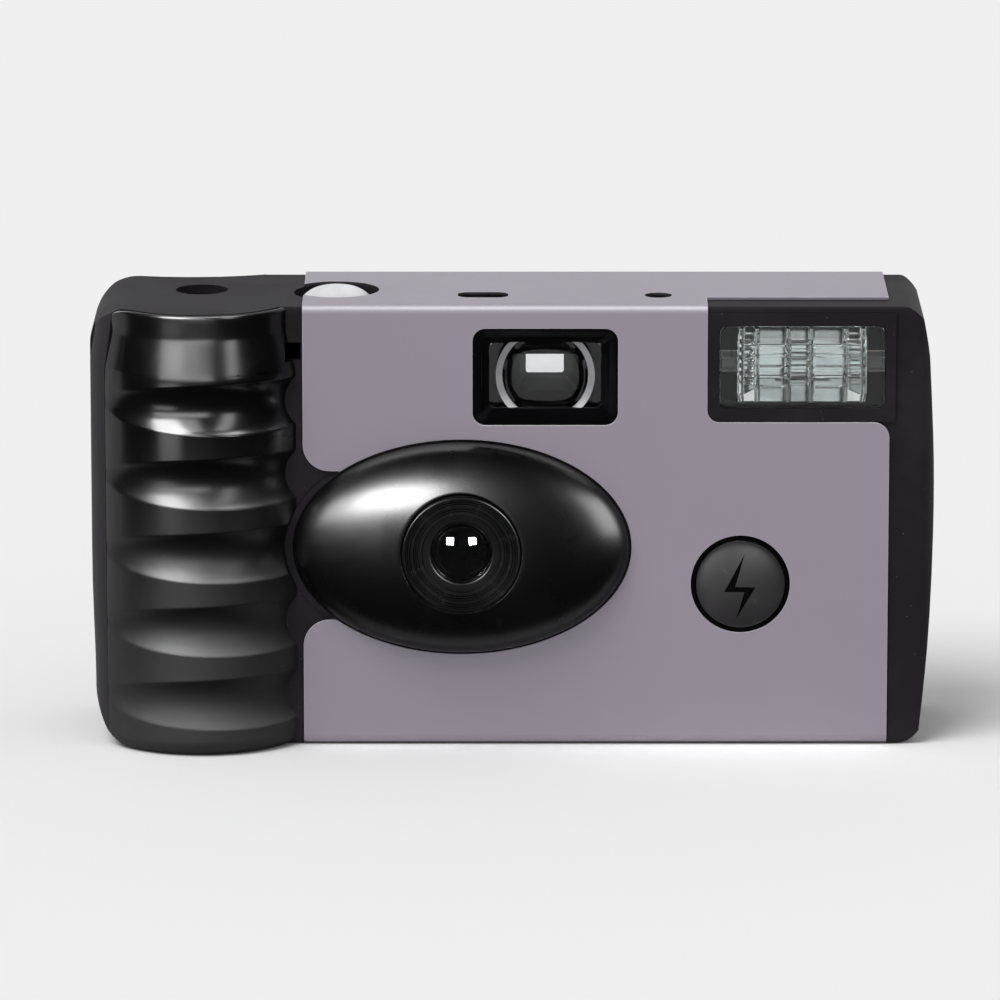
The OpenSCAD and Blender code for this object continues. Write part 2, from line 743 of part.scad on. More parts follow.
// frame that carries the film, the lens and the mechanism
module main_frame() {
    web_x = x_cart + cart_r + 0.1;
    color([0.22, 0.22, 0.23]) difference() {
        union() {
            // film gate plate
            box(web_x + 1.5, film_bend, gate_y, film_y - 0.05, floor_t + 0.05, deck_top);
            // light tunnel
            hull() {
                box(lens_x - gate_w / 2 - 1.2, lens_x + gate_w / 2 + 1.2, gate_y, gate_y + 0.1,
                    lens_z - gate_h / 2 - 1.2, lens_z + gate_h / 2 + 1.2);
                box(lens_x - 8, lens_x + 8, y_plate, y_plate + 0.1, lens_z - 8, lens_z + 8);
            }
            // shutter plate with the blade pin
            box(lens_x - 14.5, lens_x + 9.5, y_plate, y_plate + 1, lens_z - 9.6, lens_z + 10.5);
            slab_y(blade_y - 0.5, y_plate + eps) translate([blade_x, blade_z]) circle(1);
            // cartridge chamber, open to the back
            difference() {
                intersection() {
                    slab_z(floor_t + 1.2, plate_z + plate_t) translate([x_cart, y_cart])
                        circle(chamber_r + chamber_t);
                    slab_y(-50, 50) front_profile(wall + fit);
                }
                box(-100, 100, y_cart + 4.6, 50, 0, plate_z);
                box(-100, 100, y_cart + 7.2, 50, 0, 100);
            }
            // web between the chamber and the gate
            box(web_x, web_x + 3.6, y_cart + 1, gate_y + eps, floor_t + 0.05, deck_top);
            // supply chamber, open to the back
            difference() {
                slab_z(floor_t + 0.05, deck_z + eps) translate([x_sup, y_sup])
                    circle(sup_r + sup_t);
                box(-100, 100, y_sup + 4.8, 50, 0, 100);
            }
            box(film_bend - 1.2, film_bend, y_sup - 2, gate_y + eps, floor_t + 0.05, deck_top);
            // mechanism deck
            box(web_x, x_sup + 10.5, y_plate + 1.5, film_y - 0.05, deck_z, deck_top);
            // battery cradle
            box(bat_x - 0.9, bat_x + bat_l + 1.8, y_in + 0.05, bat_y + 6.6,
                floor_t + 0.05, floor_t + 0.4);
            box(bat_x - 0.9, bat_x + bat_l + 1.8, bat_y + battery_d / 2 + 0.2, bat_y + 6.6,
                floor_t + 0.05, bat_z + 1);
            box(lens_x - 16, lens_x - 15, bat_y + 6, gate_y + eps, floor_t + 0.05, bat_z + 3);
            box(lens_x + 13, lens_x + 14, bat_y + 6, gate_y + eps, floor_t + 0.05, bat_z + 3);
            // pivots on the deck: counter dial, striker, release lever
            translate([x_dial, y_dial, deck_z]) cylinder(r = 1.5, h = dial_z + 4.4 - deck_z);
            translate([strike_x, strike_y, deck_z]) cylinder(r = 1, h = deck_t + 1.8);
            for (s = [-1, 1])
                translate([lever_x, stem_y + s * (lever_w / 2 + 0.9), deck_z])
                    translate([-1.2, -0.6, 0]) cube([2.4, 1.2, deck_t + 4]);
            translate([lever_x, stem_y - lever_w / 2 - 1, lever_z]) rotate([-90, 0, 0])
                cylinder(r = 0.8, h = lever_w + 2);
        }
        // inside of the light tunnel
        hull() {
            box(lens_x - gate_w / 2, lens_x + gate_w / 2, gate_y + 0.2, film_y + 1,
                lens_z - gate_h / 2, lens_z + gate_h / 2);
            box(lens_x - 4, lens_x + 4, y_plate + 1, y_plate + 1.1, lens_z - 4, lens_z + 4);
        }
        slab_y(y_plate - 1, y_plate + 2) translate([lens_x, lens_z]) circle(2.2);
        // inside of the chambers
        translate([x_cart, y_cart, 0]) cylinder(r = chamber_r, h = plate_z);
        translate([x_cart, y_cart, 0]) cylinder(r = 4 + run, h = 100);
        translate([x_sup, y_sup, floor_t + 3.2]) cylinder(r = sup_r, h = deck_z - floor_t - 3.2);
        translate([x_sup, y_sup, 0]) cylinder(r = axle_r, h = body_h);
        // sprocket window and bearing
        translate([x_spr, y_spr, spr_z - 1.1]) cylinder(r = tip_r + 0.3, h = 2.2);
        translate([x_spr, y_spr, spr_z]) cylinder(r = 2 + run, h = 20);
        // the film leaves the cartridge past the web
        box(x_cart, web_x + 1.5, gate_y - 0.4, 50, 0, plate_z);
        // room for the battery
        translate([bat_x - 1, bat_y, bat_z]) rotate([0, 90, 0])
            cylinder(r = battery_d / 2 + 0.2, h = bat_l + 1.2);
    }
}

module film_cartridge() {
    color([0.25, 0.45, 0.35]) difference() {
        union() {
            translate([x_cart, y_cart, cart_z]) cylinder(r = cart_r, h = cart_h);
            // lips of the film mouth
            box(x_cart + 6, web_end(), film_y - 0.8, film_y + 1, cart_z + 1, cart_z + cart_h - 1);
        }
        translate([x_cart, y_cart, cart_z + 0.6]) cylinder(r = cart_r - 0.4, h = cart_h - 1.2);
        translate([x_cart, y_cart, 0]) cylinder(r = 4.3, h = 100);
        // slot for the film
        box(x_cart + 6, 0, film_y - 0.15, film_y + film_t + 0.15,
            lens_z - film_w / 2 - 0.2, lens_z + film_w / 2 + 0.2);
    }
}

function web_end() = x_cart + cart_r + 1.4;

module cartridge_spool() {
    color([0.15, 0.15, 0.15]) difference() {
        union() {
            translate([x_cart, y_cart, cart_z + 0.8]) cylinder(r = 5.8, h = cart_h - 1.6);
            translate([x_cart, y_cart, floor_t + 0.6]) cylinder(r = 4, h = cart_h + 4.1);
            for (z = [cart_z + 0.9, cart_z + cart_h - 2])
                translate([x_cart, y_cart, z]) cylinder(r = 10.5, h = 1);
        }
        // slot for the key of the thumbwheel
        translate([x_cart, y_cart, key_z - 0.2]) {
            cylinder(r = 2.9, h = body_h);
            translate([-key_l / 2 - fit, -key_w / 2 - fit, 0])
                cube([key_l + 2 * fit, key_w + 2 * fit, body_h]);
        }
    }
}

// film from the cartridge mouth over the gate to the supply roll
module film_strip() {
    dx = x_sup - film_bend;
    dy = y_sup - film_y;
    d = norm([dx, dy]);
    turn = atan2(dy, dx) + asin((roll_r + 0.12) / d);
    run_l = sqrt(d * d - pow(roll_r + 0.12, 2));
    color([0.35, 0.25, 0.2]) slab_z(lens_z - film_w / 2, lens_z + film_w / 2) {
        translate([x_cart + 9, film_y])
            square([film_bend - x_cart - 9, film_t]);
        translate([film_bend, film_y]) rotate(turn) square([run_l, film_t]);
    }
}

module supply_spool() {
    color([0.12, 0.12, 0.12]) translate([x_sup, y_sup, floor_t]) {
        translate([0, 0, 3.3]) cylinder(r = core_r, h = deck_z - floor_t - 3.6);
        translate([0, 0, 3.3]) cylinder(r = core_r + 3, h = 1);
        // axle ends in the frame
        translate([0, 0, 0.4]) cylinder(r = axle_r - run, h = deck_top - floor_t - 0.8);
    }
}

module film_roll() {
    color([0.3, 0.22, 0.18]) difference() {
        translate([x_sup, y_sup, lens_z - film_w / 2]) cylinder(r = roll_r, h = film_w);
        translate([x_sup, y_sup, 0]) cylinder(r = core_r + 0.02, h = body_h);
    }
}

module sprocket() {
    color([0.8, 0.8, 0.76]) union() {
        translate([x_spr, y_spr, spr_z - 0.7]) cylinder(r = tip_r - 0.9, h = 1.4);
        translate([x_spr, y_spr, spr_z - 0.7]) for (i = [0:7])
            rotate(i * 45 + 22.5) linear_extrude(1.4)
                polygon([[5, -0.9], [tip_r - 0.6, -0.8], [tip_r - 0.02, -0.4],
                    [tip_r - 0.02, 0.4], [tip_r - 0.6, 0.8], [5, 0.9]]);
        translate([x_spr, y_spr, spr_z - 1]) cylinder(r = 2, h = dial_z + dial_t - spr_z + 1);
        translate([x_spr, y_spr, deck_top + 0.05]) cylinder(r = 3, h = 1);
        // finger that steps the counter once a turn
        translate([x_spr, y_spr, dial_z]) rotate(150)
            translate([0, -0.6, 0]) cube([3.3, 1.2, dial_t]);
    }
}

module counter_dial() {
    teeth = 30;
    color([0.92, 0.92, 0.9]) translate([x_dial, y_dial, 0]) difference() {
        union() {
            translate([0, 0, dial_z]) linear_extrude(dial_t) polygon([
                for (i = [0:teeth - 1], k = [0:3])
                    (k < 2 ? dial_r - 0.9 : dial_r)
                    * [cos((i + k / 4) * 360 / teeth), sin((i + k / 4) * 360 / teeth)]]);
            translate([0, 0, deck_top + 0.1]) cylinder(r = 2.6, h = dial_z + 4.7 - deck_top - 0.1);
            translate([0, 0, dial_z + 3.3]) cylinder(r = dial_r - 0.4, h = 1.4);
        }
        translate([0, 0, deck_z]) cylinder(r = 1.5 + run, h = 100);
    }
}

module counter_window() {
    color([0.85, 0.9, 0.92, 0.5]) {
        slab_z(z_top_in - 0.1, body_h - 0.25) window_slot(0);
        slab_z(z_top_in - 0.7, z_top_in - 0.05) window_slot(0.7);
    }
}

module thumbwheel() {
    color([0.1, 0.1, 0.1]) translate([x_cart, y_cart, 0]) union() {
        difference() {
            translate([0, 0, wheel_z]) cylinder(r = wheel_r, h = wheel_t);
            for (i = [0:wheel_grooves - 1])
                rotate(i * 360 / wheel_grooves) translate([wheel_r + 0.1, 0, wheel_z - 1])
                    cylinder(r = 0.5, h = wheel_t + 2);
            translate([0, 0, wheel_z + wheel_t - 1]) difference() {
                cylinder(r = wheel_r - 2.5, h = 2);
                translate([0, 0, -1]) cylinder(r = 5, h = 4);
            }
        }
        // hub in the bearing of the top
        translate([0, 0, wheel_z]) cylinder(r = hub_r, h = body_h - 2.4 - wheel_z);
        // ratchet teeth under the wheel
        translate([0, 0, wheel_z - 1]) linear_extrude(1 + eps) polygon([
            for (i = [0:23], k = [0, 1])
                (ratchet_r - 0.8 * k) * [cos((i + k * 0.2) * 15), sin((i + k * 0.2) * 15)]]);
        // shaft and key into the spool
        translate([0, 0, plate_z - 0.3]) cylinder(r = 4, h = wheel_z - plate_z + 0.3);
        translate([0, 0, key_z]) cylinder(r = 2.75, h = wheel_z - key_z);
        box(-key_l / 2, key_l / 2, -key_w / 2, key_w / 2, key_z, plate_z);
    }
}

module ratchet_pawl() {
    h = wheel_z - notch_z;
    color([0.75, 0.72, 0.6]) translate([x_cart + 6.2, y_cart - 10.9, notch_z]) {
        cylinder(r = 1.1, h = h - 0.4);
        rotate([0, 0, 156.5]) translate([0, -0.35, 0.2]) cube([6.7, 0.7, h - 0.7]);
    }
}

module viewfinder_bezel() {
    w = finder_w - 4.4;
    h = finder_h - 4;
    color([0.07, 0.07, 0.07]) difference() {
        union() {
            slab_y(y_f - sleeve_t, y_in + 0.05) finder_hole(0);
            slab_y(y_in + 0.05, y_in + 0.8) at_xz(x_find, z_find)
                rrect(finder_w - 1.6, finder_h - 1.6, 1.2);
        }
        // walls slope in to the front lens
        hull() {
            translate([x_find, y_f - sleeve_t - 0.05, z_find])
                cube([finder_w - 1.4, 0.1, finder_h - 1.4], center = true);
            translate([x_find, y_f + 0.85, z_find]) cube([w, 0.1, h], center = true);
        }
        slab_y(y_f, y_in + 2) at_xz(x_find, z_find) rrect(w, h, 0.8);
        slab_y(y_f + 1.6, y_in + 2) at_xz(x_find, z_find) rrect(w + 1, h + 1, 0.8);
    }
}

module viewfinder_lens() {
    w = finder_w - 3.5;
    h = finder_h - 3.1;
    front = y_f + 0.9;
    back = y_f + 3.4;
    color([0.8, 0.88, 0.92, 0.4]) difference() {
        union() {
            slab_y(y_f + 1.65, back) at_xz(x_find, z_find) rrect(w, h, 0.8);
            // step that fills the throat of the bezel
            slab_y(front, back) at_xz(x_find, z_find) rrect(w - 1.1, h - 1.1, 0.7);
        }
        // both faces are hollow
        for (y = [front + dish_sag - dish_r, back - dish_sag + dish_r])
            translate([x_find, y, z_find]) sphere(r = dish_r, $fn = 120);
    }
}

module viewfinder_tube() {
    front = y_in + 0.85;
    color([0.12, 0.12, 0.12]) difference() {
        union() {
            slab_y(front, front + 1.8) at_xz(x_find, z_find)
                rrect(finder_w - 2.4, finder_h - 2, 1);
            slab_y(front, y_bin - 0.05) at_xz(x_find, z_find) rrect(tube_w, tube_h, 0.8);
            // feet on the deck
            for (y = [0, 8])
                box(x_find - 4, x_find + 4, y, y + 2, deck_top, z_find - tube_h / 2 + 0.2);
        }
        slab_y(front - 1, front + 1.1) at_xz(x_find, z_find)
            rrect(finder_w - 3.4, finder_h - 3, 0.8);
        slab_y(front - 1, y_bin + 1) at_xz(x_find, z_find)
            rrect(tube_w - 2, tube_h - 1.8, 0.6);
        // seat of the eyepiece
        slab_y(y_bin - 2, y_bin + 1) at_xz(x_find, z_find)
            rrect(tube_w - 1.2, tube_h - 1, 0.6);
    }
}

module eyepiece_lens() {
    color([0.8, 0.88, 0.92, 0.4]) intersection() {
        slab_y(y_bin - 1.95, y_bin + 0.4) at_xz(x_find, z_find)
            rrect(tube_w - 1.8, tube_h - 1.4, 0.9);
        // bulging front face
        translate([x_find, y_bin - 1.95 + 25, z_find]) sphere(r = 25, $fn = 180);
    }
}

module flash_window() {
    pitch = 1.5;
    ribs = floor((flash_w - 2) / pitch);
    color([0.85, 0.9, 0.92, 0.5]) difference() {
        union() {
            slab_y(y_f - sleeve_t + 0.2, y_in + 0.1) flash_hole(0);
            slab_y(y_in + 0.05, y_in + 0.7) flash_hole(0.7);
        }
        // prism lines on the inside
        for (i = [0:ribs - 1])
            translate([x_flash + (i - (ribs - 1) / 2) * pitch, y_in + 0.7,
                z_flash - flash_h / 2 + 0.6])
                linear_extrude(flash_h - 1.2)
                    polygon([[-pitch * 0.42, 0.1], [0, -0.45], [pitch * 0.42, 0.1]]);
    }
}

module flash_reflector() {
    w = trough_w;
    h = flash_h - 1.4;
    y0 = y_in + 0.8;
    color([0.85, 0.85, 0.83]) difference() {
        union() {
            translate([x_flash - w / 2, y0, z_flash - h / 2]) cube([w, 2.4, h]);
            translate([x_flash - w / 2, y0 + 1, z_flash]) rotate([0, 90, 0])
                cylinder(r = h / 2, h = w);
        }
        translate([x_flash - w / 2 + 0.4, y0 + 1, z_flash]) rotate([0, 90, 0])
            cylinder(r = h / 2 - 0.4, h = w - 0.8);
        box(x_flash - w / 2 + 0.4, x_flash + w / 2 - 0.4, y0 - 1, y0 + 1.1,
            z_flash - h / 2 + 0.4, z_flash + h / 2 - 0.4);
        translate([x_flash - 30, y0 + 2.6, z_flash]) rotate([0, 90, 0])
            cylinder(r = 1.5 + fit, h = 60);
        box(x_flash - 30, x_flash + 30, y0 - 20, y0, 0, 100);
    }
}

module flash_tube() {
    l = flash_w + 2.6;
    color([0.8, 0.85, 0.9, 0.6])
        translate([x_flash - l / 2, y_in + 3.4, z_flash]) rotate([0, 90, 0]) union() {
            cylinder(r = 1.5, h = l);
            translate([0, 0, -1]) cylinder(r = 0.5, h = l + 2);
        }
}

module circuit_board() {
    x0 = film_bend + 1;
    x1 = x_right - 3.5;
    z1 = deck_z - 0.6;
    color([0.15, 0.4, 0.2]) union() {
        difference() {
            box(x0, x1, board_y, board_y + board_t, floor_t + 1, z1);
            for (z = [floor_t + 4, z1 - 3])
                slab_y(board_y - 1, board_y + 3) translate([x1 - 3, z]) circle(1.2);
        }
        // small parts on the front
        for (i = [0:4])
            box(x0 + 20 + i * 3, x0 + 21.8 + i * 3, board_y - 0.9, board_y + eps,
                z_fbut + 9, z_fbut + 12);
        for (i = [0:2])
            slab_y(board_y - 1.1, board_y + eps)
                translate([x_fbut + 13, z_fbut - 6 + i * 5]) circle(1.8);
        // foot on the floor of the cover
        box(x0 + 4, x0 + 8, board_y, board_y + board_t, floor_t, floor_t + 2);
    }
}

module flash_capacitor() {
    y = board_y + board_t + 0.15 + cap_r;
    color([0.1, 0.12, 0.2]) union() {
        translate([x_cap, y, floor_t + 0.1]) cylinder(r = cap_r, h = cap_h);
        translate([x_cap, y, floor_t + cap_h]) cylinder(r = cap_r - 0.6, h = 0.8);
        for (s = [-1, 1])
            translate([x_cap + s * cap_r / 3, y, floor_t + cap_h]) cylinder(r = 0.4, h = lead_h);
    }
}

module transformer() {
    y = board_y + board_t;
    color([0.75, 0.6, 0.25]) union() {
        box(x_cap - 5, x_cap + 5, y + 0.05, y + 1.2, coil_z, coil_z + coil_h);
        box(x_cap - 5, x_cap + 5, y + 5.6, y + 6.8, coil_z, coil_z + coil_h);
        translate([x_cap, y + 1, coil_z + coil_h / 2]) rotate([-90, 0, 0])
            cylinder(r = coil_h / 2 - 0.5, h = 5);
    }
}

module ready_lamp() {
    color([0.95, 0.75, 0.55, 0.8]) translate([lamp_x, lamp_y, deck_top]) {
        translate([0, 0, 0.05]) cylinder(r = lamp_d / 2 + 0.8, h = 2);
        translate([0, 0, 1]) cylinder(r = lamp_d / 2 - fit, h = body_h - deck_top - 1.6);
    }
}

module flash_button() {
    r = flash_button_d / 2;
    rise = 0.7;
    dome = (r * r + rise * rise) / (2 * rise);
    color([0.16, 0.16, 0.17]) translate([x_fbut, 0, z_fbut]) {
        intersection() {
            translate([0, y_f - 0.5 - rise + dome, 0]) sphere(r = dome, $fn = 120);
            translate([0, y_f - 0.5 + eps, 0]) rotate([90, 0, 0]) cylinder(r = r, h = 5);
        }
        translate([0, y_in + 0.8, 0]) rotate([90, 0, 0]) cylinder(r = r, h = wall + 1.3);
        translate([0, y_in + 0.8, 0]) rotate([90, 0, 0]) cylinder(r = r + 0.7, h = 0.6);
    }
}

module flash_contact() {
    color([0.8, 0.68, 0.35]) slab_y(board_y - 0.08, board_y) translate([x_fbut, z_fbut]) union() {
        circle(3);
        translate([-1, 0]) square([2, 6]);
    }
}

module battery() {
    color([0.7, 0.55, 0.2]) translate([bat_x, bat_y, bat_z]) rotate([0, 90, 0]) union() {
        cylinder(r = battery_d / 2, h = bat_l - 1);
        cylinder(r = 1.9, h = bat_l);
    }
}

module contact_plus() {
    x = bat_x + bat_l + 0.05;
    color([0.8, 0.78, 0.7]) box(x, x + contact_t,
        bat_y - contact_w / 2, bat_y + contact_w / 2, floor_t + 0.45, contact_z);
}

module contact_minus() {
    color([0.8, 0.78, 0.7]) union() {
        box(bat_x - 2 * contact_t, bat_x - contact_t,
            bat_y - contact_w / 2, bat_y + contact_w / 2, floor_t + 0.45, contact_z);
        translate([bat_x - contact_t - eps, bat_y, bat_z]) rotate([0, 90, 0])
            cylinder(r = 2, h = contact_t - 0.05);
    }
}

front_cover();
rear_cover();
hand_grip();
sleeve();
film_door();
lens_bezel();
lens_ring();
taking_lens();
lens_holder();
aperture_disc();
shutter_blade();
striker();
release_lever();
shutter_button();
main_frame();
film_cartridge();
cartridge_spool();
film_strip();
supply_spool();
film_roll();
sprocket();
counter_dial();
counter_window();
thumbwheel();
ratchet_pawl();
viewfinder_bezel();
viewfinder_tube();
viewfinder_lens();
eyepiece_lens();
flash_window();
flash_reflector();
flash_tube();
circuit_board();
flash_capacitor();
transformer();
ready_lamp();
flash_button();
flash_contact();
battery();
contact_plus();
contact_minus();
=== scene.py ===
import math

import bmesh
import bpy
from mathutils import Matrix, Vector


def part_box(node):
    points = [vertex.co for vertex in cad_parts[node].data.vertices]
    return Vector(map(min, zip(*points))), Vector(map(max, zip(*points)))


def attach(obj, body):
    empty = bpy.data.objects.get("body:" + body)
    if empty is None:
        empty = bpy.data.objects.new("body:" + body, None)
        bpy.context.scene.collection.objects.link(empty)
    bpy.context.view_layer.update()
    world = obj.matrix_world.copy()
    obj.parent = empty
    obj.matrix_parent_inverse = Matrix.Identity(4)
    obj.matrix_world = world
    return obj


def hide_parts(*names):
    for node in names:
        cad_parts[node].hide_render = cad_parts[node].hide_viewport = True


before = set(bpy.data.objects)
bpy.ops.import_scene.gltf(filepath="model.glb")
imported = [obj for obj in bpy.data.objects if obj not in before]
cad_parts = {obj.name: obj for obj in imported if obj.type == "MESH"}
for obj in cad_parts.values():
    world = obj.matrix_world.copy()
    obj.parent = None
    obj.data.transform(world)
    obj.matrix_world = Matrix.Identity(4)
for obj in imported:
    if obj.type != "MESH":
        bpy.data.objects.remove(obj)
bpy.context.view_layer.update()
mm = 0.001
print("frame loaded:", len(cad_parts), "nodes")


# general mesh helpers, sizes in millimetres

def newObject(name, mesh):
    piece = bpy.data.objects.new(name, mesh)
    bpy.context.scene.collection.objects.link(piece)
    return piece


def meshPiece(name, points, faces):
    mesh = bpy.data.meshes.new(name)
    mesh.from_pydata([tuple(c * mm for c in p) for p in points], [], faces)
    mesh.validate()
    return newObject(name, mesh)


def tidyMesh(piece, merge=0.0005):
    work = bmesh.new()
    work.from_mesh(piece.data)
    bmesh.ops.remove_doubles(work, verts=work.verts, dist=merge * mm)
    bmesh.ops.dissolve_degenerate(work, edges=work.edges, dist=merge * mm)
    bmesh.ops.recalc_face_normals(work, faces=work.faces)
    work.to_mesh(piece.data)
    work.free()
    piece.data.update()


def smoothPiece(piece, angle=35):
    piece.data.shade_smooth()
    piece.data.set_sharp_from_angle(angle=math.radians(angle))


def applyModifiers(piece):
    graph = bpy.context.evaluated_depsgraph_get()
    made = bpy.data.meshes.new_from_object(piece.evaluated_get(graph), depsgraph=graph)
    piece.modifiers.clear()
    old = piece.data
    piece.data = made
    made.name = piece.name
    bpy.data.meshes.remove(old)


def cutAway(piece, cutters):
    for cutter in cutters:
        cut = piece.modifiers.new("cut", "BOOLEAN")
        cut.operation = "DIFFERENCE"
        cut.solver = "EXACT"
        cut.object = cutter
    applyModifiers(piece)
    for cutter in cutters:
        mesh = cutter.data
        bpy.data.objects.remove(cutter)
        bpy.data.meshes.remove(mesh)


def roundEdges(piece, width, angle=40, segments=2):
    bevel = piece.modifiers.new("rounded edges", "BEVEL")
    bevel.width = width * mm
    bevel.segments = segments
    bevel.limit_method = "ANGLE"
    bevel.angle_limit = math.radians(angle)
    bevel.use_clamp_overlap = True
    # the new edge faces are marked for the edge wear in the finish, and on the card also for its painted
    # highlight
    piece.data.materials.clear()
    piece.data.materials.append(None)
    piece.data.materials.append(None)
    bevel.material = 1
    applyModifiers(piece)
    marked = [float(face.material_index == 1) for face in piece.data.polygons]
    strip = piece.data.attributes.new("edge", "FLOAT", "FACE")
    strip.data.foreach_set("value", marked)
    piece.data.polygons.foreach_set("material_index", [0] * len(marked))
    piece.data.materials.clear()


def flattenShade(piece):
    # large faces keep their own normal, so only small edge faces bend the light
    piece.data.shade_smooth()
    weigh = piece.modifiers.new("flat faces", "WEIGHTED_NORMAL")
    weigh.mode = "FACE_AREA"
    weigh.weight = 100
    weigh.keep_sharp = True
    applyModifiers(piece)


def boxCutter(x0, x1, y0, y1, z0, z1):
    corners = [(x, y, z) for x in (x0, x1) for y in (y0, y1) for z in (z0, z1)]
    sides = [(0, 1, 3, 2), (4, 6, 7, 5), (0, 4, 5, 1), (2, 3, 7, 6), (0, 2, 6, 4), (1, 5, 7, 3)]
    cutter = meshPiece("cutter", corners, sides)
    tidyMesh(cutter)
    return cutter


def prismCutter(outline, y0, y1):
    count = len(outline)
    points = [(x, y0, z) for x, z in outline] + [(x, y1, z) for x, z in outline]
    faces = [tuple(range(count)), tuple(range(2 * count - 1, count - 1, -1))]
    faces += [(i, (i + 1) % count, count + (i + 1) % count, count + i) for i in range(count)]
    cutter = meshPiece("cutter", points, faces)
    tidyMesh(cutter)
    return cutter


def loopsToSolid(name, loops, ring=False):
    # closed outlines of equal length, joined one to the next
    size = len(loops[0])
    points = [p for loop in loops for p in loop]
    faces = []
    spans = len(loops) if ring else len(loops) - 1
    for i in range(spans):
        a, b = i * size, ((i + 1) % len(loops)) * size
        for j in range(size):
            k = (j + 1) % size
            faces.append((a + j, a + k, b + k, b + j))
    if not ring:
        faces.append(tuple(range(size)))
        faces.append(tuple(range(len(points) - 1, len(points) - size - 1, -1)))
    piece = meshPiece(name, points, faces)
    tidyMesh(piece)
    return piece


def turned(name, profile, centre, axis="Y", steps=144):
    # profile points are (radius, place along the axis)
    loops = []
    for i in range(steps):
        a = 2 * math.pi * i / steps
        c, s = math.cos(a), math.sin(a)
        if axis == "Y":
            loops.append([(centre[0] + r * c, t, centre[1] + r * s) for r, t in profile])
        else:
            loops.append([(centre[0] + r * c, centre[1] + r * s, t) for r, t in profile])
    return loopsToSolid(name, loops, ring=True)


def arc(cx, cy, radius, start, end, count):
    angles = [math.radians(start + (end - start) * i / (count - 1)) for i in range(count)]
    return [(cx + radius * math.cos(a), cy + radius * math.sin(a)) for a in angles]


def roundedBox(cx, cy, w, h, r, count=8):
    outline = []
    for sx, sy, start in ((1, 1, 0), (-1, 1, 90), (-1, -1, 180), (1, -1, 270)):
        outline += arc(cx + sx * (w / 2 - r), cy + sy * (h / 2 - r), r, start, start + 90, count)
    return outline


# the short ends of the body draw in towards top and bottom, sizes in millimetres
endShape = {"right": 53.5, "left": 56.0, "corner": 53.5, "reach": 5.5, "leftReach": 3.0,
            "side": 0.42, "waist": (35.0, 20.0, 0.35), "crown": (54.0, 8.0, 1.1),
            "leftFoot": (25.0, 18.0, 0.45), "lift": (14.0, 3.6, 2.4),
            "levels": (0.4, 1.0, 1.8, 3.0, 5.0, 8.0, 12.0, 17.0, 22.0, 27.0, 32.0, 37.0, 41.0, 45.0, 48.0,
                       51.0, 53.0, 55.0, 56.5, 58.0, 59.2, 60.2, 61.0, 61.6)}


def share(value, start, length):
    return min(max((value - start) / length, 0.0), 1.0)


def easeStep(t):
    return t * t * (3 - 2 * t)


def easeEnds(piece):
    e = endShape
    for vertex in piece.data.vertices:
        x, y, z = vertex.co / mm
        right = share(x, e["right"], e["reach"])
        left = share(-x, e["left"], e["leftReach"])
        corner = share(-x, e["corner"], e["reach"])
        start, length, more = e["waist"]
        inset = e["side"] + more * easeStep(share(z, start, length))
        start, length, more = e["crown"]
        inset += more * share(z, start, length) ** 1.6
        top, length, more = e["leftFoot"]
        foot = more * easeStep(share(top - z, 0.0, length))
        height, liftRight, liftLeft = e["lift"]
        lift = max(1 - z / height, 0.0) * (liftRight * right ** 2 + liftLeft * corner ** 2)
        vertex.co = Vector((x - right * inset + left * foot, y, z + lift)) * mm
    piece.data.update()


def cutEnds(piece):
    # enough rows of points at both ends to bend them
    work = bmesh.new()
    work.from_mesh(piece.data)
    for side, start in ((1, endShape["right"]), (-1, endShape["corner"])):
        edge = side * start * mm
        bmesh.ops.bisect_plane(work, geom=work.verts[:] + work.edges[:] + work.faces[:],
                               plane_co=(edge, 0, 0), plane_no=(1, 0, 0))
        for level in endShape["levels"]:
            faces = [f for f in work.faces if all(side * v.co.x > start * mm - 1e-6 for v in f.verts)]
            near = {e for f in faces for e in f.edges} | {v for f in faces for v in f.verts}
            bmesh.ops.bisect_plane(work, geom=faces + list(near),
                                   plane_co=(0, 0, level * mm), plane_no=(0, 0, 1))
    work.to_mesh(piece.data)
    work.free()


copyAngles = {"flat": 0.4, "smooth": 30}


def cadCopy(node, name, edge=0.0, angle=40, merge=0.002, ends=False):
    # a node's own shape with joined faces and rounded edges
    piece = newObject(name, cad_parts[node].data.copy())
    piece.data.name = name
    work = bmesh.new()
    work.from_mesh(piece.data)
    bmesh.ops.remove_doubles(work, verts=work.verts, dist=merge * mm)
    bmesh.ops.dissolve_degenerate(work, edges=work.edges, dist=merge * mm)
    bmesh.ops.dissolve_limit(work, angle_limit=math.radians(copyAngles["flat"]),
                             verts=work.verts, edges=work.edges)
    work.to_mesh(piece.data)
    work.free()
    piece.data.materials.clear()
    if piece.data.has_custom_normals:
        piece.data.attributes.remove(piece.data.attributes["custom_normal"])
    smoothPiece(piece, copyAngles["smooth"])
    if edge:
        roundEdges(piece, edge, angle)
    if ends:
        cutEnds(piece)
        easeEnds(piece)
    flattenShade(piece)
    return piece


def dress(piece, material, body, slot, *replaced):
    piece.data.materials.clear()
    piece.data.materials.append(material)
    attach(piece, body)
    if replaced:
        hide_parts(*replaced)
    return piece


# shader groups shared by the finishes

def newGroup(name, values, result):
    # takes a place and some plain values, gives one value
    group = bpy.data.node_groups.new(name, "ShaderNodeTree")
    face = group.interface
    face.new_socket(name="Vector", in_out="INPUT", socket_type="NodeSocketVector")
    for label, value in values.items():
        face.new_socket(name=label, in_out="INPUT", socket_type="NodeSocketFloat").default_value = value
    face.new_socket(name=result, in_out="OUTPUT", socket_type="NodeSocketFloat")
    return group, group.nodes.new("NodeGroupInput"), group.nodes.new("NodeGroupOutput")


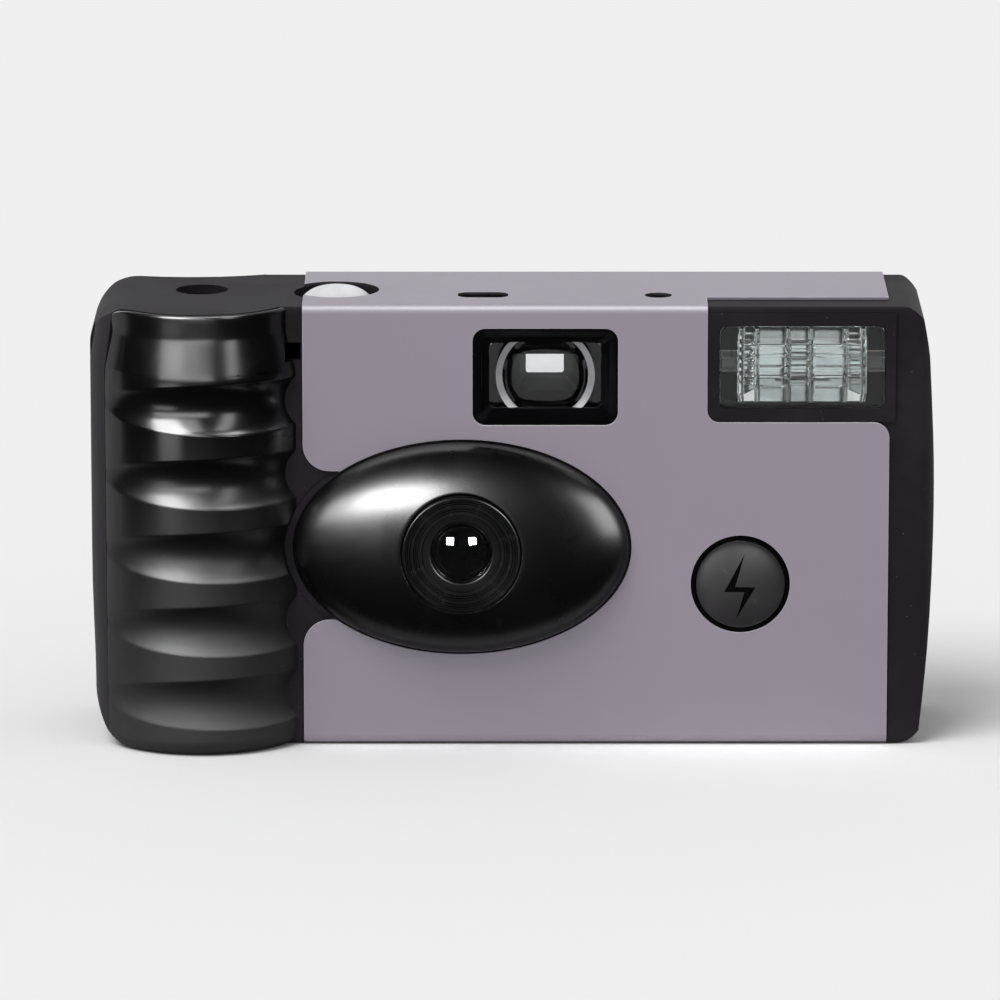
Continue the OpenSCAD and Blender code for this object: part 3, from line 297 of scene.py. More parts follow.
def addNode(tree, kind, settings=None, **values):
    made = tree.nodes.new(kind)
    for key, value in (settings or {}).items():
        setattr(made, key, value)
    for key, value in values.items():
        made.inputs[key].default_value = value
    return made


def wire(tree, *joins):
    # each join: a node, its output, the next node, its input
    for source, given, target, taken in joins:
        tree.links.new(source.outputs[given], target.inputs[taken])


def makeGrainGroup():
    # fine spark-eroded texture of a mould: small pits over a softer swell
    group, given, out = newGroup("mouldGrain", {"Scale": 1000.0, "Swell": 0.3}, "Height")
    swellScale = 0.21
    fine = addNode(group, "ShaderNodeTexNoise", Detail=3.0, Roughness=0.6)
    wide = addNode(group, "ShaderNodeTexNoise", Detail=1.0)
    less = addNode(group, "ShaderNodeMath", {"operation": "MULTIPLY"})
    less.inputs[1].default_value = swellScale
    mix = addNode(group, "ShaderNodeMix", {"data_type": "FLOAT"})
    wire(group, (given, "Vector", fine, "Vector"), (given, "Vector", wide, "Vector"),
         (given, "Scale", fine, "Scale"), (given, "Scale", less, 0), (less, 0, wide, "Scale"),
         (given, "Swell", mix, "Factor"), (fine, "Fac", mix, "A"), (wide, "Fac", mix, "B"),
         (mix, "Result", out, "Height"))
    return group


def makeHandlingGroup():
    # smears and rubbed patches from hands, as a mask from 0 to 1
    group, given, out = newGroup("handling", {"Scale": 60.0, "Low": 0.42, "High": 0.68}, "Mask")
    smear = addNode(group, "ShaderNodeTexNoise", Detail=4.0, Roughness=0.55, Distortion=0.6)
    spread = addNode(group, "ShaderNodeMapRange", {"interpolation_type": "SMOOTHSTEP"})
    wire(group, (given, "Vector", smear, "Vector"), (given, "Scale", smear, "Scale"),
         (smear, "Fac", spread, "Value"), (given, "Low", spread, "From Min"),
         (given, "High", spread, "From Max"), (spread, "Result", out, "Mask"))
    return group


def makeEdgeGroup():
    # rubbed outer edges, broken up by noise; on the card the same mask also carries a painted highlight
    group, given, out = newGroup("edgeRubAndHighlight", {"Edge": 0.0, "Start": 0.53, "End": 0.62, "Scale": 400.0}, "Mask")
    rise = addNode(group, "ShaderNodeMapRange")
    patch = addNode(group, "ShaderNodeTexNoise", Detail=2.0)
    both = addNode(group, "ShaderNodeMath", {"operation": "MULTIPLY", "use_clamp": True})
    wire(group, (given, "Edge", rise, "Value"), (given, "Start", rise, "From Min"),
         (given, "End", rise, "From Max"), (given, "Vector", patch, "Vector"),
         (given, "Scale", patch, "Scale"), (rise, "Result", both, 0), (patch, "Fac", both, 1),
         (both, 0, out, "Mask"))
    return group


def makeDustGroup():
    # a few fine specks
    group, given, out = newGroup("fineDust", {"Scale": 700.0, "Size": 0.08}, "Mask")
    cells = addNode(group, "ShaderNodeTexVoronoi", Randomness=1.0)
    small = addNode(group, "ShaderNodeMath", {"operation": "LESS_THAN"})
    wire(group, (given, "Vector", cells, "Vector"), (given, "Scale", cells, "Scale"),
         (cells, "Distance", small, 0), (given, "Size", small, 1), (small, 0, out, "Mask"))
    return group


grainGroup = makeGrainGroup()
handlingGroup = makeHandlingGroup()
edgeGroup = makeEdgeGroup()
dustGroup = makeDustGroup()


def placeGroup(tree, group, coords, **values):
    made = tree.nodes.new("ShaderNodeGroup")
    made.node_tree = group
    tree.links.new(coords, made.inputs["Vector"])
    for key, value in values.items():
        made.inputs[key].default_value = value
    return made.outputs[0]


def edgeMask(tree, coords, strips):
    # marked edge strips on plain pieces, the bend of the surface on finely meshed ones
    if strips:
        mark = addNode(tree, "ShaderNodeAttribute", {"attribute_name": "edge"}).outputs["Fac"]
        mask = placeGroup(tree, edgeGroup, coords, Start=0.0, End=1.0)
    else:
        mark = tree.nodes.new("ShaderNodeNewGeometry").outputs["Pointiness"]
        mask = placeGroup(tree, edgeGroup, coords)
    tree.links.new(mark, mask.node.inputs["Edge"])
    return mask


def newMaterial(name, **constants):
    material = bpy.data.materials.new(name)
    material.use_nodes = True
    tree = material.node_tree
    shader = tree.nodes["Principled BSDF"]
    for key, value in constants.items():
        shader.inputs[key.replace("_", " ")].default_value = value
    coords = tree.nodes.new("ShaderNodeTexCoord").outputs["Object"]
    return material, tree, shader, coords


def mixColours(tree, first, second, mask):
    mix = addNode(tree, "ShaderNodeMix", {"data_type": "RGBA"})
    colourA, colourB, colourOut = mix.inputs[6], mix.inputs[7], mix.outputs[2]
    for socket, value in ((colourA, first), (colourB, second)):
        if isinstance(value, tuple):
            socket.default_value = (*value, 1.0)
        else:
            tree.links.new(value, socket)
    tree.links.new(mask, mix.inputs[0])
    return colourOut


def spanValue(tree, mask, low, high):
    span = addNode(tree, "ShaderNodeMapRange", **{"To Min": low, "To Max": high})
    tree.links.new(mask, span.inputs["Value"])
    return span.outputs["Result"]


def lowEndHaze(tree, coords, rough, low, high, extra):
    # hands dull the lower end
    split = tree.nodes.new("ShaderNodeSeparateXYZ")
    fall = addNode(tree, "ShaderNodeMapRange",
                   **{"From Min": low * mm, "From Max": high * mm, "To Min": extra, "To Max": 0.0})
    total = addNode(tree, "ShaderNodeMath", {"operation": "ADD"})
    tree.links.new(coords, split.inputs[0])
    tree.links.new(rough, total.inputs[1])
    wire(tree, (split, "Z", fall, "Value"), (fall, "Result", total, 0))
    return total.outputs[0]


def addBump(tree, shader, height, distance, strength=1.0):
    bump = addNode(tree, "ShaderNodeBump", Strength=strength, Distance=distance * mm)
    tree.links.new(height, bump.inputs["Height"])
    tree.links.new(bump.outputs["Normal"], shader.inputs["Normal"])


wearLook = {"lighter": 1.35, "speck": (0.25, 0.25, 0.25), "smear": 70.0, "dust": 0.035, "bump": 0.5}


def mouldedPlastic(name, look):
    # look: colour, worn colour, roughness span, grain size in 1/m, grain depth in mm, gloss
    look = {**wearLook, **look}
    material, tree, shader, coords = newMaterial(name, Specular_IOR_Level=look["gloss"])
    handled = placeGroup(tree, handlingGroup, coords, Scale=look["smear"])
    edgeWearAndHighlight = edgeMask(tree, coords, look.get("strips", False))
    specks = placeGroup(tree, dustGroup, coords, Size=look["dust"])
    grain = placeGroup(tree, grainGroup, coords, Scale=look["grain"])
    body = mixColours(tree, look["colour"], tuple(c * look["lighter"] for c in look["colour"]), handled)
    body = mixColours(tree, body, look["worn"], edgeWearAndHighlight)
    body = mixColours(tree, body, look["speck"], specks)
    tree.links.new(body, shader.inputs["Base Color"])
    rough = spanValue(tree, handled, *look["rough"])
    if "haze" in look:
        rough = lowEndHaze(tree, coords, rough, *look["haze"])
    tree.links.new(rough, shader.inputs["Roughness"])
    addBump(tree, shader, grain, look["depth"], look["bump"])
    return material


plasticLooks = {
    "coverPlastic": {"colour": (0.0182, 0.0158, 0.0186), "worn": (0.042, 0.04, 0.043), "strips": True,
                     "rough": (0.6, 0.68), "grain": 2600.0, "depth": 0.02, "gloss": 0.13},
    "gripPlastic": {"colour": (0.0025, 0.0025, 0.003), "worn": (0.01, 0.01, 0.011),
                    "rough": (0.2, 0.26), "grain": 900.0, "depth": 0.003, "gloss": 0.35,
                    "bump": 0.25, "dust": 0.02, "haze": (4.0, 46.0, 0.46)},
    "domePlastic": {"colour": (0.0016, 0.0016, 0.0018), "worn": (0.008, 0.008, 0.009),
                    "rough": (0.27, 0.31), "grain": 3200.0, "depth": 0.006, "gloss": 0.2,
                    "bump": 0.3, "dust": 0.02},
    "ringPlastic": {"colour": (0.003, 0.003, 0.0035), "worn": (0.02, 0.02, 0.022),
                    "rough": (0.24, 0.3), "grain": 3000.0, "depth": 0.003, "gloss": 0.065, "dust": 0.015},
    "finderPlastic": {"colour": (0.002, 0.0017, 0.0024), "worn": (0.012, 0.012, 0.014),
                      "rough": (0.4, 0.48), "grain": 3000.0, "depth": 0.006, "gloss": 0.2, "dust": 0.015},
    "mattBlack": {"colour": (0.0012, 0.0012, 0.0014), "worn": (0.004, 0.004, 0.004),
                  "rough": (0.72, 0.82), "grain": 2600.0, "depth": 0.002, "gloss": 0.05, "dust": 0.005},
    "finderTube": {"colour": (0.0015, 0.0015, 0.0018), "worn": (0.004, 0.004, 0.004),
                   "rough": (0.5, 0.6), "grain": 2600.0, "depth": 0.0005, "gloss": 0.02, "dust": 0.005},
    "buttonPlastic": {"colour": (0.026, 0.024, 0.026), "worn": (0.05, 0.05, 0.05),
                      "rough": (0.34, 0.4), "grain": 3000.0, "depth": 0.004, "gloss": 0.3, "dust": 0.01},
    "whitePlastic": {"colour": (0.6, 0.6, 0.63), "worn": (0.7, 0.7, 0.72),
                     "rough": (0.36, 0.46), "grain": 2200.0, "depth": 0.006, "gloss": 0.4},
    "framePlastic": {"colour": (0.012, 0.012, 0.013), "worn": (0.04, 0.04, 0.04),
                     "rough": (0.55, 0.65), "grain": 2200.0, "depth": 0.02, "gloss": 0.25},
    "leverPlastic": {"colour": (0.52, 0.49, 0.42), "worn": (0.6, 0.57, 0.5),
                     "rough": (0.4, 0.52), "grain": 2200.0, "depth": 0.01, "gloss": 0.45},
    "lampPlastic": {"colour": (0.02, 0.006, 0.005), "worn": (0.05, 0.02, 0.015),
                    "rough": (0.3, 0.4), "grain": 2200.0, "depth": 0.004, "gloss": 0.15},
}
finish = {name: mouldedPlastic(name, look) for name, look in plasticLooks.items()}


def stretched(tree, coords, scale):
    stretch = addNode(tree, "ShaderNodeMapping", Scale=scale)
    tree.links.new(coords, stretch.inputs["Vector"])
    return stretch.outputs[0]


def cardFinish():
    # coated card: fibres under a thin satin print layer
    # the near white edge colour is partly rubbed wear, partly a painted highlight along the folds
    look = {"colour": (0.320, 0.287, 0.340), "deep": (0.309, 0.277, 0.328), "edgeWearAndHighlight": (0.86, 0.83, 0.89),
            "fibre": 420.0, "along": (0.22, 1.0, 1.0), "rough": (0.44, 0.52), "depth": 0.012, "gloss": 0.14}
    material, tree, shader, coords = newMaterial("sleeveCard", Specular_IOR_Level=look["gloss"])
    along = stretched(tree, coords, look["along"])
    fibre = placeGroup(tree, grainGroup, along, Scale=look["fibre"], Swell=0.4)
    cloud = placeGroup(tree, handlingGroup, coords, Scale=26.0, Low=0.3, High=0.75)
    # edge strips: partly rubbed wear, partly a painted highlight
    edgeWearAndHighlight = edgeMask(tree, coords, True)
    tone = mixColours(tree, look["colour"], look["deep"], cloud)
    tone = mixColours(tree, tone, look["edgeWearAndHighlight"], edgeWearAndHighlight)
    tree.links.new(tone, shader.inputs["Base Color"])
    tree.links.new(spanValue(tree, cloud, *look["rough"]), shader.inputs["Roughness"])
    addBump(tree, shader, fibre, look["depth"], 0.35)
    return material


def metalFinish(name, colour, rough, brush):
    # sheet metal with drawing lines
    material, tree, shader, coords = newMaterial(name, Metallic=1.0)
    drawn = stretched(tree, coords, (1.0, 1.0, brush))
    lines = placeGroup(tree, grainGroup, drawn, Scale=1500.0, Swell=0.5)
    stain = placeGroup(tree, handlingGroup, coords, Scale=120.0)
    dull = tuple(c * 0.8 for c in colour)
    tree.links.new(mixColours(tree, colour, dull, stain), shader.inputs["Base Color"])
    tree.links.new(spanValue(tree, lines, *rough), shader.inputs["Roughness"])
    addBump(tree, shader, lines, 0.004, 0.3)
    return material


def clearFinish(name, tint, rough, bend, gloss=0.5):
    # clear moulded plastic; the fine swell bends what is seen through it
    material, tree, shader, coords = newMaterial(
        name, Transmission_Weight=1.0, IOR=1.49, Specular_IOR_Level=gloss)
    swell = placeGroup(tree, grainGroup, coords, Scale=160.0, Swell=0.6)
    smear = placeGroup(tree, handlingGroup, coords, Scale=150.0, Low=0.5, High=0.8)
    tree.links.new(mixColours(tree, tint, tuple(c * 0.97 for c in tint), smear),
                   shader.inputs["Base Color"])
    tree.links.new(spanValue(tree, smear, *rough), shader.inputs["Roughness"])
    addBump(tree, shader, swell, bend, 0.2)
    return material


def printedFinish(name, colour, second, scale, gloss=0.5, rough=(0.3, 0.45)):
    # lacquer, film or label with two tones
    material, tree, shader, coords = newMaterial(name, Specular_IOR_Level=gloss)
    patch = placeGroup(tree, handlingGroup, coords, Scale=scale, Low=0.4, High=0.6)
    grain = placeGroup(tree, grainGroup, coords, Scale=1800.0)
    tree.links.new(mixColours(tree, colour, second, patch), shader.inputs["Base Color"])
    tree.links.new(spanValue(tree, grain, *rough), shader.inputs["Roughness"])
    addBump(tree, shader, grain, 0.006, 0.3)
    return material


# colour, roughness span, how far the lines are drawn out
metalLooks = {"chromeFoil": ((0.79, 0.8, 0.8), (0.04, 0.16), 0.3),
              "contactBrass": ((0.72, 0.55, 0.26), (0.22, 0.38), 0.2)}
# tint, roughness span, depth of the swell in mm, gloss; the lens tint hides the lit room behind it
clearLooks = {
    "lensClear": ((0.1, 0.1, 0.11), (0.02, 0.035), 0.00004, 0.06),
    "finderClear": ((0.97, 0.98, 0.98), (0.02, 0.035), 0.00004, 0.3),
    "eyepieceClear": ((0.92, 0.92, 0.94), (0.05, 0.08), 0.001, 0.3),
    # the grey counter tint is painted shade that darkens the counter slot
    "counterClear": ((0.35, 0.35, 0.37), (0.12, 0.2), 0.001, 0.2),
    "windowClear": ((0.95, 0.98, 0.97), (0.01, 0.04), 0.0015),
    "tubeClear": ((0.93, 0.96, 0.98), (0.02, 0.08), 0.002),
}
# two tones, size of the patches in 1/m, gloss, roughness span
printLooks = {
    "filmBase": ((0.14, 0.085, 0.055), (0.12, 0.07, 0.045), 50.0),
    "cartridgeTin": ((0.06, 0.2, 0.16), (0.05, 0.17, 0.14), 80.0),
    "boardGreen": ((0.03, 0.2, 0.07), (0.02, 0.12, 0.045), 900.0),
    "canSleeve": ((0.02, 0.03, 0.08), (0.016, 0.024, 0.06), 60.0),
    "coilTape": ((0.55, 0.36, 0.1), (0.42, 0.25, 0.07), 700.0),
    "cellWrap": ((0.36, 0.33, 0.26), (0.3, 0.27, 0.2), 90.0),
    "dialInk": ((0.012, 0.012, 0.014), (0.02, 0.02, 0.022), 300.0),
    "boltShade": ((0.002, 0.0016, 0.002), (0.003, 0.0026, 0.003), 300.0, 0.04, (0.6, 0.7)),
    # near black walls of the card openings: painted shade
    "openingShadeCard": ((0.02, 0.018, 0.022), (0.03, 0.028, 0.032), 200.0, 0.1, (0.6, 0.7)),
    "finderFrost": ((0.34, 0.34, 0.35), (0.28, 0.28, 0.29), 500.0, 0.5, (0.28, 0.36)),
}
finish["sleeveCard"] = cardFinish()
for looks, make in ((metalLooks, metalFinish), (clearLooks, clearFinish), (printLooks, printedFinish)):
    finish.update({name: make(name, *look) for name, look in looks.items()})
print("finishes made:", len(finish))


# camera and stage, from the view of the photograph
cameraView = {"elevation": 12.354, "distance": 1162.07, "target": (-1.652, 0.0, 32.707), "lens": 299.39,
              "sensor": 36.0, "clip": (0.05, 30.0)}


def makeCamera():
    e = math.radians(cameraView["elevation"])
    reach = cameraView["distance"]
    tx, ty, tz = cameraView["target"]
    data = bpy.data.cameras.new("photoCamera")
    data.lens = cameraView["lens"]
    data.sensor_width = cameraView["sensor"]
    data.clip_start, data.clip_end = cameraView["clip"]
    camera = bpy.data.objects.new("photoCamera", data)
    camera.location = Vector((tx, ty - reach * math.cos(e), tz + reach * math.sin(e))) * mm
    camera.rotation_euler = (math.pi / 2 - e, 0.0, 0.0)
    bpy.context.scene.collection.objects.link(camera)
    bpy.context.scene.camera = camera


stageLook = {"floor": (0.89, 0.89, 0.89), "floorSize": 14.0, "world": 0.5, "backdrop": 0.87}
flagSizes = {"half": 2.6, "near": 0.0178, "far": 1.5, "top": 2.4, "over": 0.4, "foot": 0.001}


def makeFloor():
    half = stageLook["floorSize"] / 2 / mm
    corners = [(-half, -half, 0), (half, -half, 0), (half, half, 0), (-half, half, 0)]
    floor = meshPiece("floor", corners, [(0, 1, 2, 3)])
    material, tree, shader, coords = newMaterial("paleFloor", Roughness=0.9, Specular_IOR_Level=0.0)
    cloud = placeGroup(tree, handlingGroup, coords, Scale=1.2, Low=0.2, High=0.8)
    tone = stageLook["floor"]
    tree.links.new(mixColours(tree, tone, tuple(c * 0.995 for c in tone), cloud),
                   shader.inputs["Base Color"])
    floor.data.materials.append(material)


def makeFlag():
    # black cloth before, beside and above the object, which only shows in reflections
    half, near, far, top, over, foot = (size / mm for size in flagSizes.values())
    rows = ((-near, foot), (-far, foot), (-far, top), (over, top), (over, foot))
    points = [(x, y, z) for y, z in rows for x in (-half, half)]
    sheets = [(n, n + 1, n + 3, n + 2) for n in (0, 2, 4)] + [(2, 4, 6, 8), (3, 5, 7, 9)]
    flag = meshPiece("blackFlag", points, sheets)
    material, tree, shader, coords = newMaterial("flagCloth", Roughness=0.95, Specular_IOR_Level=0.0)
    weave = placeGroup(tree, handlingGroup, coords, Scale=40.0)
    tree.links.new(mixColours(tree, (0.012, 0.012, 0.012), (0.02, 0.02, 0.02), weave),
                   shader.inputs["Base Color"])
    flag.data.materials.append(material)
    flag.visible_camera = False
    flag.visible_diffuse = False
    flag.visible_transmission = False
    flag.visible_shadow = False


def makeWorld():
    world = bpy.data.worlds.new("studio")
    world.use_nodes = True
    tree = world.node_tree
    ground = tree.nodes["Background"]
    ground.inputs["Color"].default_value = (1.0, 1.0, 1.0, 1.0)
    path = tree.nodes.new("ShaderNodeLightPath")
    seen = addNode(tree, "ShaderNodeMath", {"operation": "MAXIMUM"})
    through = addNode(tree, "ShaderNodeMath", {"operation": "MAXIMUM"})
    level = addNode(tree, "ShaderNodeMapRange",
                    **{"To Min": stageLook["world"], "To Max": stageLook["backdrop"]})
    wire(tree, (path, "Is Camera Ray", seen, 0), (path, "Is Transmission Ray", seen, 1),
         (seen, 0, through, 0), (path, "Is Glossy Ray", through, 1), (through, 0, level, "Value"),
         (level, "Result", ground, "Strength"))
    bpy.context.scene.world = world


# lamps: a soft key for light and shade, and cards that only show as gloss on one group of pieces
# card: azimuth, elevation, half width and half height in degrees, distance in m, radiance
keyLamp = {"azimuth": -45.0, "elevation": 58.0, "strength": 1.78, "angle": 36.0, "distance": 2.0}
glossCards = (
    (("gripShell",), (-0.043, -0.017, 0.045), {
        "gripLand": (-33.0, -11.0, 11.0, 6.0, 0.12, 4.5),
        "gripLow": (-14.0, 8.0, 28.0, 7.0, 0.3, 9.0),
        "gripMain": (-33.0, 42.0, 13.0, 22.0, 0.14, 35.0),
        "gripFade": (-8.0, 40.0, 11.0, 20.0, 0.14, 8.0),
        "gripTop": (0.0, 80.0, 30.0, 9.0, 0.3, 20.0),
        "gripSide": (36.0, 30.0, 6.0, 25.0, 0.3, 9.0)}),
    (("lensDome",), (-0.007, -0.015, 0.0285), {
        "domeBox": (-22.0, 25.0, 12.0, 8.0, 0.7, 162.0),
        "domeWing": (-46.0, 22.0, 12.0, 9.0, 0.7, 40.0),
        "domeSide": (66.0, 18.0, 16.0, 16.0, 0.7, 24.0)}),
    (("takingLens", "lensRing"), (-0.007, -0.015, 0.0285), {
        "lensLeft": (-26.0, 14.0, 8.0, 8.0, 0.7, 240.0),
        "lensRight": (26.0, 14.0, 8.0, 8.0, 0.7, 240.0)}),
    (("finderLens",), (0.0046, -0.009, 0.0523), {
        "finderLeft": (-46.0, 26.0, 10.0, 10.0, 0.7, 14.0),
        "finderRight": (46.0, 26.0, 10.0, 10.0, 0.7, 14.0)}),
    (("flashButton",), (0.0317, -0.011, 0.023), {
        "buttonLeft": (-17.0, 2.0, 7.0, 6.0, 0.25, 16.0),
        "buttonTop": (7.0, 5.0, 7.0, 6.0, 0.25, 14.0)}),
    (("cardSleeve",), (-0.007, -0.015, 0.0285), {
        "overhead": (0.0, 72.0, 40.0, 16.0, 0.8, 62.0)}),
)


def fromAngles(azimuth, elevation):
    a, e = math.radians(azimuth), math.radians(elevation)
    return Vector((math.sin(a) * math.cos(e), -math.cos(a) * math.cos(e), math.sin(e)))


def hangLamp(name, light, way, place):
    lamp = bpy.data.objects.new(name, light)
    lamp.location = place
    lamp.rotation_mode = "QUATERNION"
    lamp.rotation_quaternion = (-way).to_track_quat("-Z", "Y")
    bpy.context.scene.collection.objects.link(lamp)
    return lamp


def hangCard(name, card, aim, pieces):
    azimuth, elevation, halfWide, halfTall, reach, level = card
    light = bpy.data.lights.new(name, "AREA")
    light.shape = "RECTANGLE"
    light.size = 2 * reach * math.tan(math.radians(halfWide))
    light.size_y = 2 * reach * math.tan(math.radians(halfTall))
    light.energy = level * math.pi * light.size * light.size_y
    way = fromAngles(azimuth, elevation)
    lamp = hangLamp(name, light, way, Vector(aim) + way * reach)
    lamp.visible_camera = False
    lamp.visible_diffuse = False
    lamp.visible_transmission = False
    group = bpy.data.collections.new(name + "Receivers")
    for piece in pieces:
        group.objects.link(bpy.data.objects[piece])
    lamp.light_linking.receiver_collection = group


def makeLamps():
    sun = bpy.data.lights.new("keySun", "SUN")
    sun.energy = keyLamp["strength"]
    sun.angle = math.radians(keyLamp["angle"])
    way = fromAngles(keyLamp["azimuth"], keyLamp["elevation"])
    hangLamp("keySun", sun, way, way * keyLamp["distance"]).visible_glossy = False
    for pieces, aim, cards in glossCards:
        for name, card in cards.items():
            hangCard(name, card, aim, pieces)


makeCamera()
makeFloor()
makeFlag()
makeWorld()
bpy.context.scene.view_settings.view_transform = "Standard"
print("camera and stage set")


# hand grip with finger flutes
gripSizes = {"axis": (-43.2, -2.1), "radius": 15.4, "inner": 13.2, "height": 62.0, "foot": 2.2,
             "bandFoot": 53.3, "bandTop": 58.6, "rim": 14.25, "top": 0.45, "bend": 0.12,
             "angles": (212.4, 335.0), "columns": 190, "back": 0.02, "backEdge": 0.4,
             "fluteAxis": (-44.0, -0.6), "fluteRing": 20.696, "fluteTube": 5.096,
             "fluteFirst": 7.4, "fluteStep": 10.4, "flutes": 5, "soften": 0.16,
             "corner": 6.45, "cornerX": -52.1, "cornerZ": 6.5, "front": -9.8,
             "domeOval": (-7.0, 28.25, 24.65, 15.7), "ovalSteps": 160,
             "sideSlot": (-31.3, -29.0, -25, 0, 54.6, 57.1)}
# rows of points: shares of a flute's half height, closer at its lip, and heights above the flutes
fluteRows = (0.2, 0.4, 0.6, 0.74, 0.84, 0.91, 0.95, 0.975, 1.0, 1.025, 1.05, 1.09, 1.15, 1.24, 1.36)
bandRows = ([53.6 + 0.3 * n for n in range(7)] + [56.2, 57.0, 57.6]
            + [57.9 + 0.2 * n for n in range(9)] + [60.2, 61.0])


def softMin(a, b, k):
    h = max(k - abs(a - b), 0.0)
    return min(a, b) - h * h / (4 * k)


def fluteRadius(ux, uy, z):
    # distance from the grip axis to the flute surface in one direction
    g = gripSizes
    dx, dy = g["fluteAxis"][0] - g["axis"][0], g["fluteAxis"][1] - g["axis"][1]
    best = 1e3
    for i in range(g["flutes"]):
        off = z - g["fluteFirst"] - i * g["fluteStep"]
        if abs(off) < g["fluteTube"]:
            ring = g["fluteRing"] - math.sqrt(g["fluteTube"] ** 2 - off * off)
            along = ux * dx + uy * dy
            root = along * along - dx * dx - dy * dy + ring * ring
            best = min(best, along + math.sqrt(root))
    return best


def fluteHalf(ux, uy):
    # half height of the flutes in one direction, where they cut the plain wall
    g = gripSizes
    px = g["axis"][0] + g["radius"] * ux - g["fluteAxis"][0]
    py = g["axis"][1] + g["radius"] * uy - g["fluteAxis"][1]
    away = g["fluteRing"] - math.hypot(px, py)
    return math.sqrt(max(g["fluteTube"] ** 2 - away * away, 0.0))


def gripWall(z):
    # plain wall, a leaning band above the flutes, then an upright rim
    g = gripSizes
    slope = (g["radius"] - g["rim"]) / (g["bandTop"] - g["bandFoot"])
    above, past = z - g["bandFoot"], z - g["bandTop"]
    ramp = 0.5 * (above + math.sqrt(above * above + g["bend"]))
    ramp -= 0.5 * (past + math.sqrt(past * past + g["bend"]))
    return g["radius"] - slope * ramp


def makeGrip():
    g = gripSizes
    marks = [-t for t in reversed(fluteRows)] + [0.0] + list(fluteRows)
    loops = []
    for i in range(g["columns"] + 1):
        a = math.radians(g["angles"][0] + (g["angles"][1] - g["angles"][0]) * i / g["columns"])
        ux, uy = math.cos(a), math.sin(a)
        half = max(fluteHalf(ux, uy), 1.0)
        heights = []
        for n in range(g["flutes"]):
            mid = g["fluteFirst"] + n * g["fluteStep"]
            heights += [mid + t * half for t in marks]
            if n < g["flutes"] - 1:
                heights.append(mid + g["fluteStep"] / 2)
        heights += bandRows
        column = arc(g["inner"], g["foot"], g["foot"], -90, 0, 10)
        column += [(softMin(gripWall(z), fluteRadius(ux, uy, z), g["soften"]), z) for z in heights]
        column += arc(g["rim"] - g["top"], g["height"] - g["top"], g["top"], 0, 90, 8)
        loop = []
        hidden = g["inner"] - g["back"]
        column += [(hidden, g["height"] - g["backEdge"]), (hidden, g["backEdge"])]
        for r, z in column:
            x, y = g["axis"][0] + r * ux, g["axis"][1] + r * uy
            side = g["cornerX"] - x
            if side > 0:
                room = math.sqrt(max(g["corner"] ** 2 - side * side, 0.0))
                z = min(max(z, g["cornerZ"] - room), g["height"] - g["cornerZ"] + room)
            loop.append((x, y, z))
        loops.append(loop)
    grip = loopsToSolid("gripShell", loops)
    cx, cz, rx, rz = g["domeOval"]
    oval = [(cx + rx * math.cos(t), cz + rz * math.sin(t))
            for t in (2 * math.pi * n / g["ovalSteps"] for n in range(g["ovalSteps"]))]
    cutAway(grip, [boxCutter(-70, 0, g["front"], 20, -5, 70), prismCutter(oval, -30, -5),
                   boxCutter(*g["sideSlot"])])
    tidyMesh(grip)
    easeEnds(grip)
    smoothPiece(grip, 38)
    dress(grip, finish["gripPlastic"], "camera", "grip", "hand_grip")


makeGrip()
print("grip made")


# oval lens dome
domeSizes = {"centre": (-7.0, -9.8, 28.25), "half": (23.35, 7.0, 15.0), "wall": 1.4,
             "holeCentre": (-7.0, 28.5), "hole": 8.3, "lip": 0.22, "lipRows": 4, "neck": 1.6,
             "columns": 200, "rows": 44, "innerRows": 8, "innerStart": 1.08}


def domeDepth(x, z, wall=0.0):
    d = domeSizes
    rx, ry, rz = (h - wall for h in d["half"])
    q = 1 - ((x - d["centre"][0]) / rx) ** 2 - ((z - d["centre"][2]) / rz) ** 2
    return d["centre"][1] - ry * math.sqrt(max(q, 0.0))


def makeDome():
    d = domeSizes
    cx, cy, cz = d["centre"]
    loops = []
    for i in range(d["columns"]):
        a = 2 * math.pi * i / d["columns"]
        hx = d["holeCentre"][0] + (d["hole"] + d["lip"]) * math.cos(a)
        hz = d["holeCentre"][1] + (d["hole"] + d["lip"]) * math.sin(a)
        ex, ez = (hx - cx) / d["half"][0], (hz - cz) / d["half"][2]
        turn = math.atan2(ez, ex)
        inner = math.asin(math.hypot(ex, ez))
        loop = []
        for j in range(d["rows"] + 1):
            rho = math.sin(math.pi / 2 + (inner - math.pi / 2) * j / d["rows"])
            x = cx + d["half"][0] * rho * math.cos(turn)
            z = cz + d["half"][2] * rho * math.sin(turn)
            loop.append((x, domeDepth(x, z), z))
        top = loop[-1][1]
        for k in range(1, d["lipRows"] + 1):
            t = math.radians(90 * k / d["lipRows"])
            r = d["hole"] + d["lip"] * (1 - math.sin(t))
            loop.append((d["holeCentre"][0] + r * math.cos(a), top + d["lip"] * (1 - math.cos(t)),
                         d["holeCentre"][1] + r * math.sin(a)))
        loop.append((loop[-1][0], top + d["neck"], loop[-1][2]))
        start = inner * d["innerStart"]
        for j in range(d["innerRows"] + 1):
            rho = math.sin(start + (math.pi / 2 - start) * j / d["innerRows"])
            x = cx + (d["half"][0] - d["wall"]) * rho * math.cos(turn)
            z = cz + (d["half"][2] - d["wall"]) * rho * math.sin(turn)
            loop.append((x, domeDepth(x, z, d["wall"]), z))
        loops.append(loop)
    dome = loopsToSolid("lensDome", loops, ring=True)
    smoothPiece(dome, 40)
    dress(dome, finish["domePlastic"], "camera", "bezel", "lens_bezel")


makeDome()


# stepped ring that leads in to the lens
ringSizes = {"centre": (-7.0, 28.5), "front": -16.4, "depth": 2.6, "outer": 8.25, "bore": 4.1, "seat": 4.55,
             "steps": ((7.75, 0.35), (6.65, 0.75), (5.45, 1.15)), "edge": 0.1, "mouth": 0.42,
             "round": 0.25, "seatAt": 2.1, "grooves": (0.3, 0.62), "grooveHalf": 0.07, "grooveDeep": 0.09,
             "grooveFrom": 6.0}


